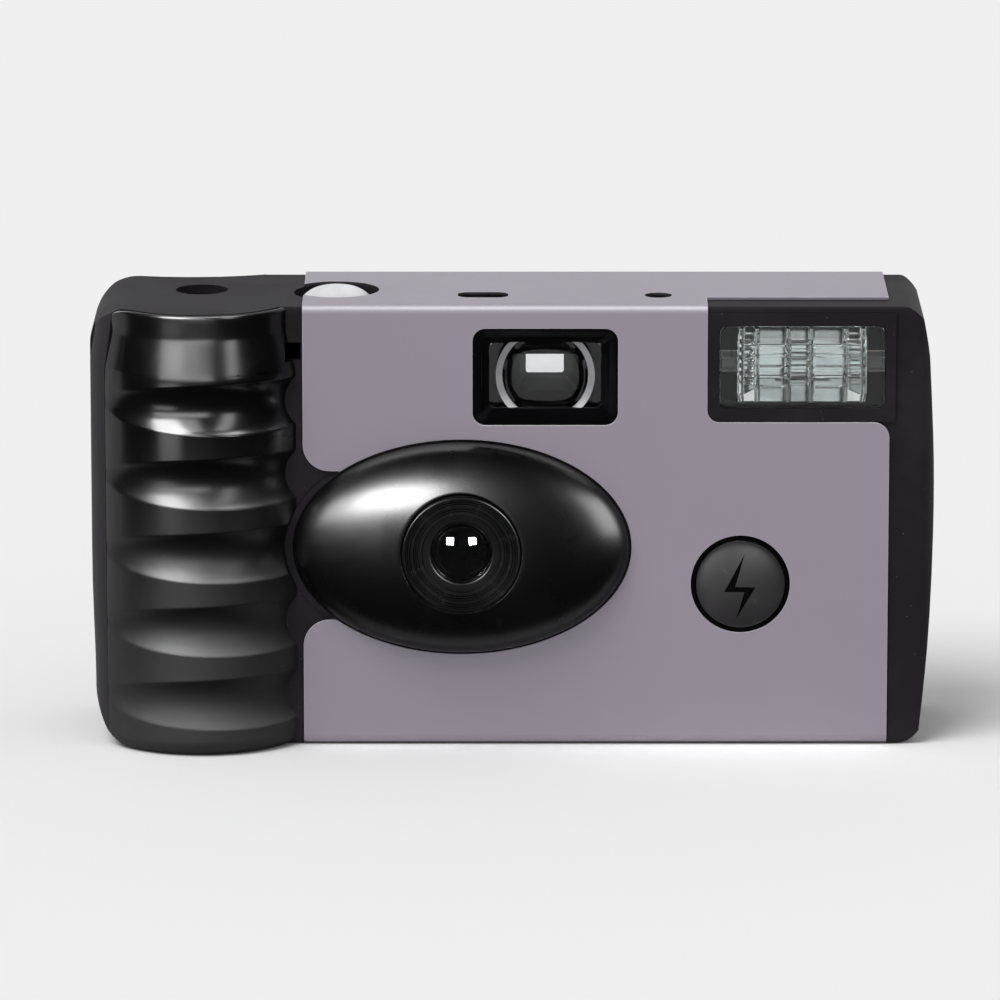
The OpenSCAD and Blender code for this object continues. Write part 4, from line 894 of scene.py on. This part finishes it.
def makeLensRing():
    s = ringSizes
    y, e = s["front"], s["edge"]
    profile = [(s["outer"], y + s["depth"]), (s["outer"], y + s["round"])]
    profile += arc(s["outer"] - s["round"], y + s["round"], s["round"], 0, -90, 5)[1:]
    level = y
    for radius, drop in s["steps"]:
        profile += [(radius + 0.62 * e, level), (radius + 0.2 * e, level + 0.3 * e), (radius, level + e)]
        level = y + drop
        profile += [(radius, level - 0.5 * e), (radius - 0.4 * e, level)]
        # two fine turned grooves on each wide tread
        for groove in s["grooves"] if radius > s["grooveFrom"] else ():
            r = radius - groove
            profile += [(r + s["grooveHalf"], level), (r, level + s["grooveDeep"]),
                        (r - s["grooveHalf"], level)]
    profile += arc(s["bore"] + s["mouth"], level + s["mouth"], s["mouth"], -90, -180, 9)
    profile += [(s["bore"], y + s["seatAt"]), (s["seat"], y + s["seatAt"]), (s["seat"], y + s["depth"])]
    ring = turned("lensRing", profile, s["centre"], steps=192)
    smoothPiece(ring, 28)
    dress(ring, finish["ringPlastic"], "camera", "ring", "lens_ring")


lensSizes = {"centre": (-7.0, 28.5), "front": -14.25, "radius": 4.5, "thick": 1.5, "bow": 7.2, "face": 4.0,
             "backSwell": 0.02, "faceGap": 0.02, "edge": 0.1, "edgeDeep": 0.12, "rows": 19}


def makeTakingLens():
    s = lensSizes
    y = s["front"]
    sag = s["bow"] - math.sqrt(s["bow"] ** 2 - s["face"] ** 2)
    profile = [(0.0, y + s["thick"])]
    profile += [(s["face"] * 0.25 * n, y + s["thick"] - s["backSwell"] * n * (4 - n)) for n in range(1, 4)]
    profile += [(s["radius"], y + s["thick"]), (s["radius"], y + s["edgeDeep"]),
                (s["radius"] - s["edge"], y), (s["face"] + s["faceGap"], y)]
    for n in range(s["rows"] + 1):
        r = s["face"] * (1 - n / s["rows"])
        profile.append((r, y - sag + s["bow"] - math.sqrt(s["bow"] ** 2 - r * r)))
    lens = turned("takingLens", profile, s["centre"], steps=128)
    smoothPiece(lens, 30)
    dress(lens, finish["lensClear"], "camera", "clear", "taking_lens")


makeLensRing()
makeTakingLens()
print("lens group made")


# plain copies of CAD solids with softened edges: name, node, edge width, finish, slot, body
copied = [
    ("frontCover", "front_cover", 0.22, "coverPlastic", "cover", "camera"),
    ("rearCover", "rear_cover", 0.22, "coverPlastic", "cover", "camera"),
    ("filmDoor", "film_door", 0.15, "coverPlastic", "cover", "film_door"),
    ("cardSleeve", "sleeve", 0.07, "sleeveCard", "card", "camera"),
    ("thumbWheel", "thumbwheel", 0.0, "framePlastic", "cover", "thumbwheel"),
]
for name, node, edge, look, slot, rider in copied:
    shaped = name in ("frontCover", "rearCover")
    dress(cadCopy(node, name, edge, ends=shaped), finish[look], rider, slot, node)
    print("copied", name)


openingShadeSizes = {"margin": 1.5, "above": 61.5, "upright": 0.6}


def paintCutEdges():
    # walls of the openings in the top of the card, painted near black as painted shade inside the openings
    sleeve = bpy.data.objects["cardSleeve"]
    sleeve.data.materials.append(finish["openingShadeCard"])
    margin = openingShadeSizes["margin"] * mm
    boxes = [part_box(node) for node in ("shutter_button", "counter_window", "ready_lamp")]
    for face in sleeve.data.polygons:
        x, y, z = face.center
        near = any(low[0] - margin < x < high[0] + margin and low[1] - margin < y < high[1] + margin
                   for low, high in boxes)
        if near and z > openingShadeSizes["above"] * mm and abs(face.normal.z) < openingShadeSizes["upright"]:
            face.material_index = 1


def paintButtonRim():
    # the cover round the flash button, painted matt black as painted shade in the gap round the button
    cover = bpy.data.objects["frontCover"]
    cover.data.materials.append(finish["mattBlack"])
    x0, z0 = flashButton["centre"]
    for face in cover.data.polygons:
        away = math.hypot(face.center.x / mm - x0, face.center.z / mm - z0)
        if away < flashButton["rim"] and face.center.y < flashButton["gapShadeBack"] * mm:
            face.material_index = 1


# shutter button
shutterSizes = {"centre": (-24.4, 1.5), "radius": 4.6, "flange": 5.3, "top": 62.9, "shoulder": 61.5,
                "flangeZ": (58.0, 59.2), "skirt": 0.3, "swell": 3.2, "inset": 0.06, "rows": 23,
                "stem": (-27.0, -1.0), "stemRadius": 1.0, "stemEdge": 0.1, "stemZ": (53.5, 58.05)}


def makeShutterButton():
    s = shutterSizes
    rise = s["top"] - s["shoulder"]
    profile = [(0.0, s["flangeZ"][0]), (s["flange"], s["flangeZ"][0]), (s["flange"], s["flangeZ"][1]),
               (s["radius"], s["flangeZ"][1]), (s["radius"], s["shoulder"] - s["skirt"])]
    for n in range(s["rows"] + 1):
        r = (s["radius"] - s["inset"]) * (1 - n / s["rows"])
        profile.append((r, s["top"] - rise * (r / s["radius"]) ** s["swell"]))
    button = turned("shutterButton", profile, s["centre"], axis="Z", steps=96)
    smoothPiece(button, 30)
    r, edge, (low, high) = s["stemRadius"], s["stemEdge"], s["stemZ"]
    stem = turned("shutterStem", [(0.0, low), (r - edge, low), (r, low + edge), (r, high), (0.0, high)],
                  s["stem"], axis="Z", steps=32)
    smoothPiece(stem, 30)
    dress(button, finish["whitePlastic"], "shutter_button", "white", "shutter_button")
    dress(stem, finish["whitePlastic"], "shutter_button", "white")


makeShutterButton()


# flash button with a sunk flash sign
flashButton = {"centre": (31.7, 23.0), "radius": 6.15, "front": -11.0, "base": -10.3, "back": -7.5,
               "flange": 6.85, "flangeThick": 0.6, "skirt": 0.25, "rows": 27, "swell": 0.9,
               # the cover round the button, out to the rim reach, is painted matt black as painted shade in
               # the gap round the button
               "rim": 7.0, "gapShadeBack": -8.0, "signDepth": 0.45, "signReach": 5.0, "signFloor": 0.02}
flashSign = ((0.56, 4.36), (-2.25, -0.97), (0.56, -0.97), (-0.57, -4.83), (2.08, -0.32), (-0.73, -0.24))


def makeFlashButton():
    s = flashButton
    rise = s["base"] - s["front"]
    step = s["back"] - s["flangeThick"]
    profile = [(0.0, s["back"]), (s["flange"], s["back"]), (s["flange"], step),
               (s["radius"], step), (s["radius"], s["base"] + s["skirt"])]
    for n in range(s["rows"] + 1):
        turn = (1 - n / s["rows"]) * math.pi / 2
        profile.append((s["radius"] * math.sin(turn) if n < s["rows"] else 0.0,
                        s["front"] + rise * (1 - math.cos(turn)) ** s["swell"]))
    button = turned("flashButton", profile, s["centre"], steps=128)
    outline = [(s["centre"][0] + x, s["centre"][1] + z) for x, z in flashSign]
    cutAway(button, [prismCutter(outline, s["front"] - 2, s["front"] + s["signDepth"])])
    tidyMesh(button)
    smoothPiece(button, 32)
    dress(button, finish["buttonPlastic"], "flash_button", "cover", "flash_button")
    # the walls and floor of the sunk sign are painted near black: painted shade in the sign
    button.data.materials.append(finish["boltShade"])
    floorY = (s["front"] + s["signDepth"] - s["signFloor"]) * mm
    for face in button.data.polygons:
        x, y, z = face.center / mm
        near = math.hypot(x - s["centre"][0], z - s["centre"][1]) < s["signReach"] and y < s["base"]
        if near and (abs(face.normal.y) < 0.3 or face.center.y > floorY):
            face.material_index = 1


makeFlashButton()
paintCutEdges()
paintButtonRim()
print("buttons made")


# viewfinder: bezel with sloped walls and hollow front lens
finderSizes = {"centre": (4.6, 52.3), "outer": (19.9, 13.4), "mouth": (17.6, 11.3), "throat": (15.5, 9.4),
               "front": -10.2, "back": -7.5, "slope": 1.3, "throatRound": 0.7,
               "outerEdge": ((0.0, 1.8, 0.3), (-0.14, 1.75, 0.09), (-0.5, 1.6, 0.0)),
               "mouthEdge": ((0.4, 1.2, 0.0), (0.1, 1.1, 0.1), (0.0, 1.05, 0.3))}


def grown(size, more):
    return size[0] + more, size[1] + more


def makeFinderBezel():
    # edge rows: growth, corner radius and depth
    s = finderSizes
    cx, cz = s["centre"]
    rows = [(s["outer"], s["outerEdge"][0][1], s["back"])]
    for size, edge in ((s["outer"], s["outerEdge"]), (s["mouth"], s["mouthEdge"])):
        rows += [(grown(size, more), r, s["front"] + depth) for more, r, depth in edge]
    rows += [(s["throat"], s["throatRound"], y) for y in (s["front"] + s["slope"], s["back"])]
    loops = [[(x, y, z) for x, z in roundedBox(cx, cz, w, h, r)] for (w, h), r, y in rows]
    bezel = loopsToSolid("finderBezel", loops, ring=True)
    smoothPiece(bezel, 28)
    dress(bezel, finish["finderPlastic"], "camera", "ring", "viewfinder_bezel")


finderLens = {"centre": (4.6, 52.3), "plug": (15.3, 9.2, 0.7), "flange": (16.4, 10.3, 0.8),
              "front": -8.9, "step": -8.15, "back": -6.4, "dish": 6.85, "sag": 1.1,
              "ring": 5.95, "ringMiddle": 6.4, "ringDepth": 0.5, "dip": 2.0, "spokes": 160, "rings": 14}


def edgeReach(size, angle):
    # distance from the centre of a rounded box to its edge
    w, h, r = size
    c, s = abs(math.cos(angle)), abs(math.sin(angle))
    low, high = 0.0, w
    for _ in range(40):
        mid = (low + high) / 2
        dx, dz = max(mid * c - w / 2 + r, 0.0), max(mid * s - h / 2 + r, 0.0)
        inside = math.hypot(dx, dz) < r
        low, high = (mid, high) if inside else (low, mid)
    return low


def hollowDepth(r, reach, sag):
    ball = (reach ** 2 + sag ** 2) / (2 * sag)
    return sag - ball + math.sqrt(ball ** 2 - r * r)


def finderFront(r):
    # depth of the front face: a sloped ring, then the hollow
    s = finderLens
    if r < s["ring"]:
        return s["ringDepth"] + hollowDepth(r, s["ring"], s["sag"] - s["ringDepth"])
    return s["ringDepth"] * max(s["dish"] - r, 0.0) / (s["dish"] - s["ring"])


def makeFinderLens():
    # clear plate with a round hollow in each face
    s = finderLens
    cx, cz = s["centre"]
    loops = []
    for i in range(s["spokes"]):
        a = 2 * math.pi * i / s["spokes"]
        plug, flange = edgeReach(s["plug"], a), edgeReach(s["flange"], a)
        steps = [min(s["ring"], plug) * k / s["rings"] for k in range(s["rings"] + 1)]
        steps += [min(max(s["ring"], r), plug) for r in (s["ringMiddle"], s["dish"], plug)]
        column = [(r, s["front"] + finderFront(r)) for r in steps]
        column += [(plug, s["step"]), (flange, s["step"])]
        for k in range(s["rings"], -1, -1):
            # the back hollow sits lower, which lifts the line of sight
            r = flange * k / s["rings"]
            off = math.hypot(r * math.cos(a), r * math.sin(a) + s["dip"])
            column.append((r, s["back"] - max(hollowDepth(min(off, s["dish"]), s["dish"], s["sag"]), 0.0)))
        loops.append([(cx + r * math.cos(a), y, cz + r * math.sin(a)) for r, y in column])
    lens = loopsToSolid("finderLens", loops, ring=True)
    smoothPiece(lens, 25)
    dress(lens, finish["finderClear"], "camera", "clear", "viewfinder_lens")
    lens.data.materials.append(finish["finderFrost"])
    for face in lens.data.polygons:
        x, y, z = face.center / mm
        if s["ring"] < math.hypot(x - cx, z - cz) < s["dish"] and face.normal.y < -0.3 and y < s["step"]:
            face.material_index = 1


makeFinderBezel()
makeFinderLens()
print("viewfinder made")


# flash: clear window with prism lines and chrome trough
windowSizes = {"centre": (40.1, 53.65), "size": (22.8, 11.4), "front": -10.0, "back": -8.2, "round": 1.0,
               "edge": ((-0.5, 0.8, 0.0), (-0.12, 0.95, 0.08), (0.0, 1.0, 0.3)), "middle": (0.04, 0.04, 0.01),
               "flange": 1.4, "flangeRound": 1.5, "flangeY": (-8.25, -7.6), "hollow": (-0.8, -0.9, 0.8)}
prismSizes = {"bars": (-8.33, -6.25, -1.94, 1.25, 5.97, 8.33), "barWide": 0.55, "barSeat": 0.1,
              "barShort": 1.2, "ribSeat": 0.12}
# rows of ribs: centre and length across, lowest rib, pitch, count, rib size
prismRows = {"prismLeft": (-7.3, 1.6, 51.3, 1.1, 7, 0.42), "prismMiddle": (-0.3, 2.9, 51.3, 1.1, 6, 0.42),
             "prismRight": (7.1, 1.8, 51.3, 1.1, 7, 0.42), "panelLeft": (-4.0, 3.6, 50.7, 1.43, 5, 0.26),
             "panelRight": (3.7, 3.7, 50.7, 1.43, 5, 0.26)}
foldSizes = {"prismLeft": (-8.2, -6.4), "prismRight": (8.2, 6.2), "low": 48.75,
             "high": 50.4, "slant": 0.9, "sheet": (-8.0, -7.4)}


def ribTree():
    # rows of three-sided ribs on a straight line of points
    tree = bpy.data.node_groups.new("prismRibs", "GeometryNodeTree")
    face = tree.interface
    face.new_socket(name="Geometry", in_out="OUTPUT", socket_type="NodeSocketGeometry")
    inputs = {}
    for label, kind in (("Start", "Vector"), ("Step", "Vector"), ("Count", "Int"), ("Width", "Float"),
                        ("Length", "Float"), ("Turn", "Vector"), ("Material", "Material")):
        inputs[label] = face.new_socket(name=label, in_out="INPUT", socket_type="NodeSocket" + kind)
    given = tree.nodes.new("NodeGroupInput")
    out = tree.nodes.new("NodeGroupOutput")
    line = addNode(tree, "GeometryNodeMeshLine", {"mode": "OFFSET"})
    rib = addNode(tree, "GeometryNodeMeshCylinder", {"fill_type": "NGON"}, Vertices=3)
    place = tree.nodes.new("GeometryNodeInstanceOnPoints")
    plain = tree.nodes.new("GeometryNodeRealizeInstances")
    paint = tree.nodes.new("GeometryNodeSetMaterial")
    wire(tree, (given, "Count", line, "Count"), (given, "Start", line, "Start Location"),
         (given, "Step", line, "Offset"), (given, "Width", rib, "Radius"), (given, "Length", rib, "Depth"),
         (line, "Mesh", place, "Points"), (rib, "Mesh", place, "Instance"),
         (given, "Turn", place, "Rotation"), (place, "Instances", plain, "Geometry"),
         (plain, "Geometry", paint, "Geometry"),
         (given, "Material", paint, "Material"), (paint, "Geometry", out, "Geometry"))
    return tree, {label: socket.identifier for label, socket in inputs.items()}


def growRibs(name, tree, sockets, **values):
    piece = newObject(name, bpy.data.meshes.new(name))
    grow = piece.modifiers.new("ribs", "NODES")
    grow.node_group = tree
    for label, value in values.items():
        grow[sockets[label]] = value
    applyModifiers(piece)
    return piece


def makeFlashWindow():
    s, p = windowSizes, prismSizes
    cx, cz = s["centre"]
    size, flange = s["size"], grown(s["size"], s["flange"])
    middle, middleRound = s["middle"][:2], s["middle"][2]
    rim, wall, hollowRound = s["hollow"]
    rows = [(middle, middleRound, s["front"])]
    rows += [(grown(size, more), r, s["front"] + depth) for more, r, depth in s["edge"]]
    rows += [(size, s["round"], s["flangeY"][0]), (flange, s["flangeRound"], s["flangeY"][0]),
             (flange, s["flangeRound"], s["flangeY"][1]), (grown(size, rim), hollowRound, s["flangeY"][1]),
             (grown(size, wall), hollowRound, s["back"]), (middle, middleRound, s["back"])]
    loops = [[(x, y, z) for x, z in roundedBox(cx, cz, a, b, r)] for (a, b), r, y in rows]
    window = loopsToSolid("flashWindow", loops)
    smoothPiece(window, 28)
    dress(window, finish["windowClear"], "camera", "clear", "flash_window")
    tree, sockets = ribTree()
    clear, backY = finish["windowClear"], s["back"]
    for name, (x, length, first, pitch, count, width) in prismRows.items():
        start = ((cx + x) * mm, (backY + p["ribSeat"]) * mm, first * mm)
        ribs = growRibs(name, tree, sockets, Start=start, Step=(0.0, 0.0, pitch * mm), Count=count,
                        Width=width * mm, Length=length * mm,
                        Turn=(math.radians(-90), 0.0, math.radians(90)), Material=clear)
        dress(ribs, clear, "camera", "clear")
    for n, x in enumerate(p["bars"]):
        start = ((cx + x) * mm, (backY + p["barSeat"]) * mm, cz * mm)
        bar = growRibs("prismBar%d" % n, tree, sockets, Start=start, Step=(0.0, 0.0, 0.0), Count=1,
                       Width=p["barWide"] * mm, Length=(size[1] - p["barShort"]) * mm,
                       Turn=(0.0, 0.0, math.radians(30)), Material=clear)
        dress(bar, clear, "camera", "clear")


reflectorSizes = {"centre": (40.1, 53.65), "width": 16.7, "height": 10.0, "mouth": -7.5, "sheet": 0.35,
                  "depth": 5.2, "curve": 2.4, "outside": 0.3, "rows": 40, "columns": 12}


def makeReflector():
    # trough of bright foil behind the tube, with flat ends
    s = reflectorSizes
    cx, cz = s["centre"]
    half = s["height"] / 2
    inside, outside = [], []
    for n in range(s["rows"] + 1):
        t = -1 + 2 * n / s["rows"]
        y = s["mouth"] + s["depth"] * (1 - abs(t) ** s["curve"])
        inside.append((y, cz + t * half))
        outside.append((y + s["sheet"], cz + t * (half + s["outside"])))
    outline = inside + outside[::-1]
    xs = [cx - s["width"] / 2 + s["width"] * n / s["columns"] for n in range(s["columns"] + 1)]
    trough = loopsToSolid("flashTrough", [[(x, y, z) for y, z in outline] for x in xs])
    smoothPiece(trough, 35)
    dress(trough, finish["chromeFoil"], "camera", "foil", "flash_reflector")
    for name, x, lean in (("troughEndLeft", xs[0], -1), ("troughEndRight", xs[-1], 1)):
        flat = [[(x + lean * d, y, z) for y, z in inside] for d in (0.0, s["sheet"])]
        end = loopsToSolid(name, flat)
        smoothPiece(end, 30)
        dress(end, finish["chromeFoil"], "camera", "foil")
    f = foldSizes
    for name, key in (("foldLeft", "prismLeft"), ("foldRight", "prismRight")):
        outer, inner = (cx + x for x in f[key])
        outline = [(outer, f["low"]), (inner, f["low"]), (inner, f["high"]), (outer, f["high"] - f["slant"])]
        fold = prismCutter(outline, *f["sheet"])
        fold.name = fold.data.name = name
        dress(fold, finish["chromeFoil"], "camera", "foil")


makeFlashWindow()
makeReflector()
print("flash made")


# counter dial with plain figures
dialSizes = {"axis": (-10.2, 1.0), "top": 59.22, "figures": 7.2, "tall": 1.55, "frames": 30, "each": 3,
             "first": -29.1, "fontScale": 1.4, "ink": 0.01}


def makeDialFigures():
    s = dialSizes
    meshes = []
    for n in range(0, s["frames"], s["each"]):
        text = bpy.data.curves.new("figure", "FONT")
        text.body = str(n)
        text.size = s["tall"] * s["fontScale"] * mm
        text.align_x = "CENTER"
        text.align_y = "CENTER"
        text.extrude = s["ink"] * mm
        holder = bpy.data.objects.new("figure", text)
        bpy.context.scene.collection.objects.link(holder)
        graph = bpy.context.evaluated_depsgraph_get()
        mesh = bpy.data.meshes.new_from_object(holder.evaluated_get(graph), depsgraph=graph)
        bpy.data.objects.remove(holder)
        bpy.data.curves.remove(text)
        meshes.append((n, mesh))
    work = bmesh.new()
    for n, mesh in meshes:
        a = math.radians(s["first"] + 360.0 * n / s["frames"])
        part = bmesh.new()
        part.from_mesh(mesh)
        turn = a + math.pi / 2
        c, q = math.cos(turn), math.sin(turn)
        ox = (s["axis"][0] + s["figures"] * math.cos(a)) * mm
        oy = (s["axis"][1] + s["figures"] * math.sin(a)) * mm
        for v in part.verts:
            x, y, z = v.co
            v.co = Vector((ox + x * c - y * q, oy + x * q + y * c, s["top"] * mm + z))
        part.to_mesh(mesh)
        part.free()
        work.from_mesh(mesh)
        bpy.data.meshes.remove(mesh)
    mesh = bpy.data.meshes.new("dialFigures")
    work.to_mesh(mesh)
    work.free()
    figures = newObject("dialFigures", mesh)
    dress(figures, finish["dialInk"], "counter_dial", "white")


makeDialFigures()
print("counter figures made")


# finishes of the CAD solids that keep their own shape
kept = {
    "whitePlastic": ("counter_dial",),
    "mattBlack": ("lens_holder", "aperture_disc", "shutter_blade"),
    "finderTube": ("viewfinder_tube",),
    "leverPlastic": ("striker", "release_lever", "sprocket", "ratchet_pawl"),
    "framePlastic": ("main_frame", "cartridge_spool", "supply_spool"),
    "cartridgeTin": ("film_cartridge",),
    "filmBase": ("film_strip", "film_roll"),
    "counterClear": ("counter_window",),
    "eyepieceClear": ("eyepiece_lens",),
    "tubeClear": ("flash_tube",),
    "boardGreen": ("circuit_board",),
    "canSleeve": ("flash_capacitor",),
    "coilTape": ("transformer",),
    "lampPlastic": ("ready_lamp",),
    "contactBrass": ("flash_contact", "contact_plus", "contact_minus"),
    "cellWrap": ("battery",),
}
for look, names in kept.items():
    for name in names:
        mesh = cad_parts[name].data
        if mesh.materials:
            for n in range(len(mesh.materials)):
                mesh.materials[n] = finish[look]
        else:
            mesh.materials.append(finish[look])
print("CAD finishes set")

makeLamps()
print("lamps set")
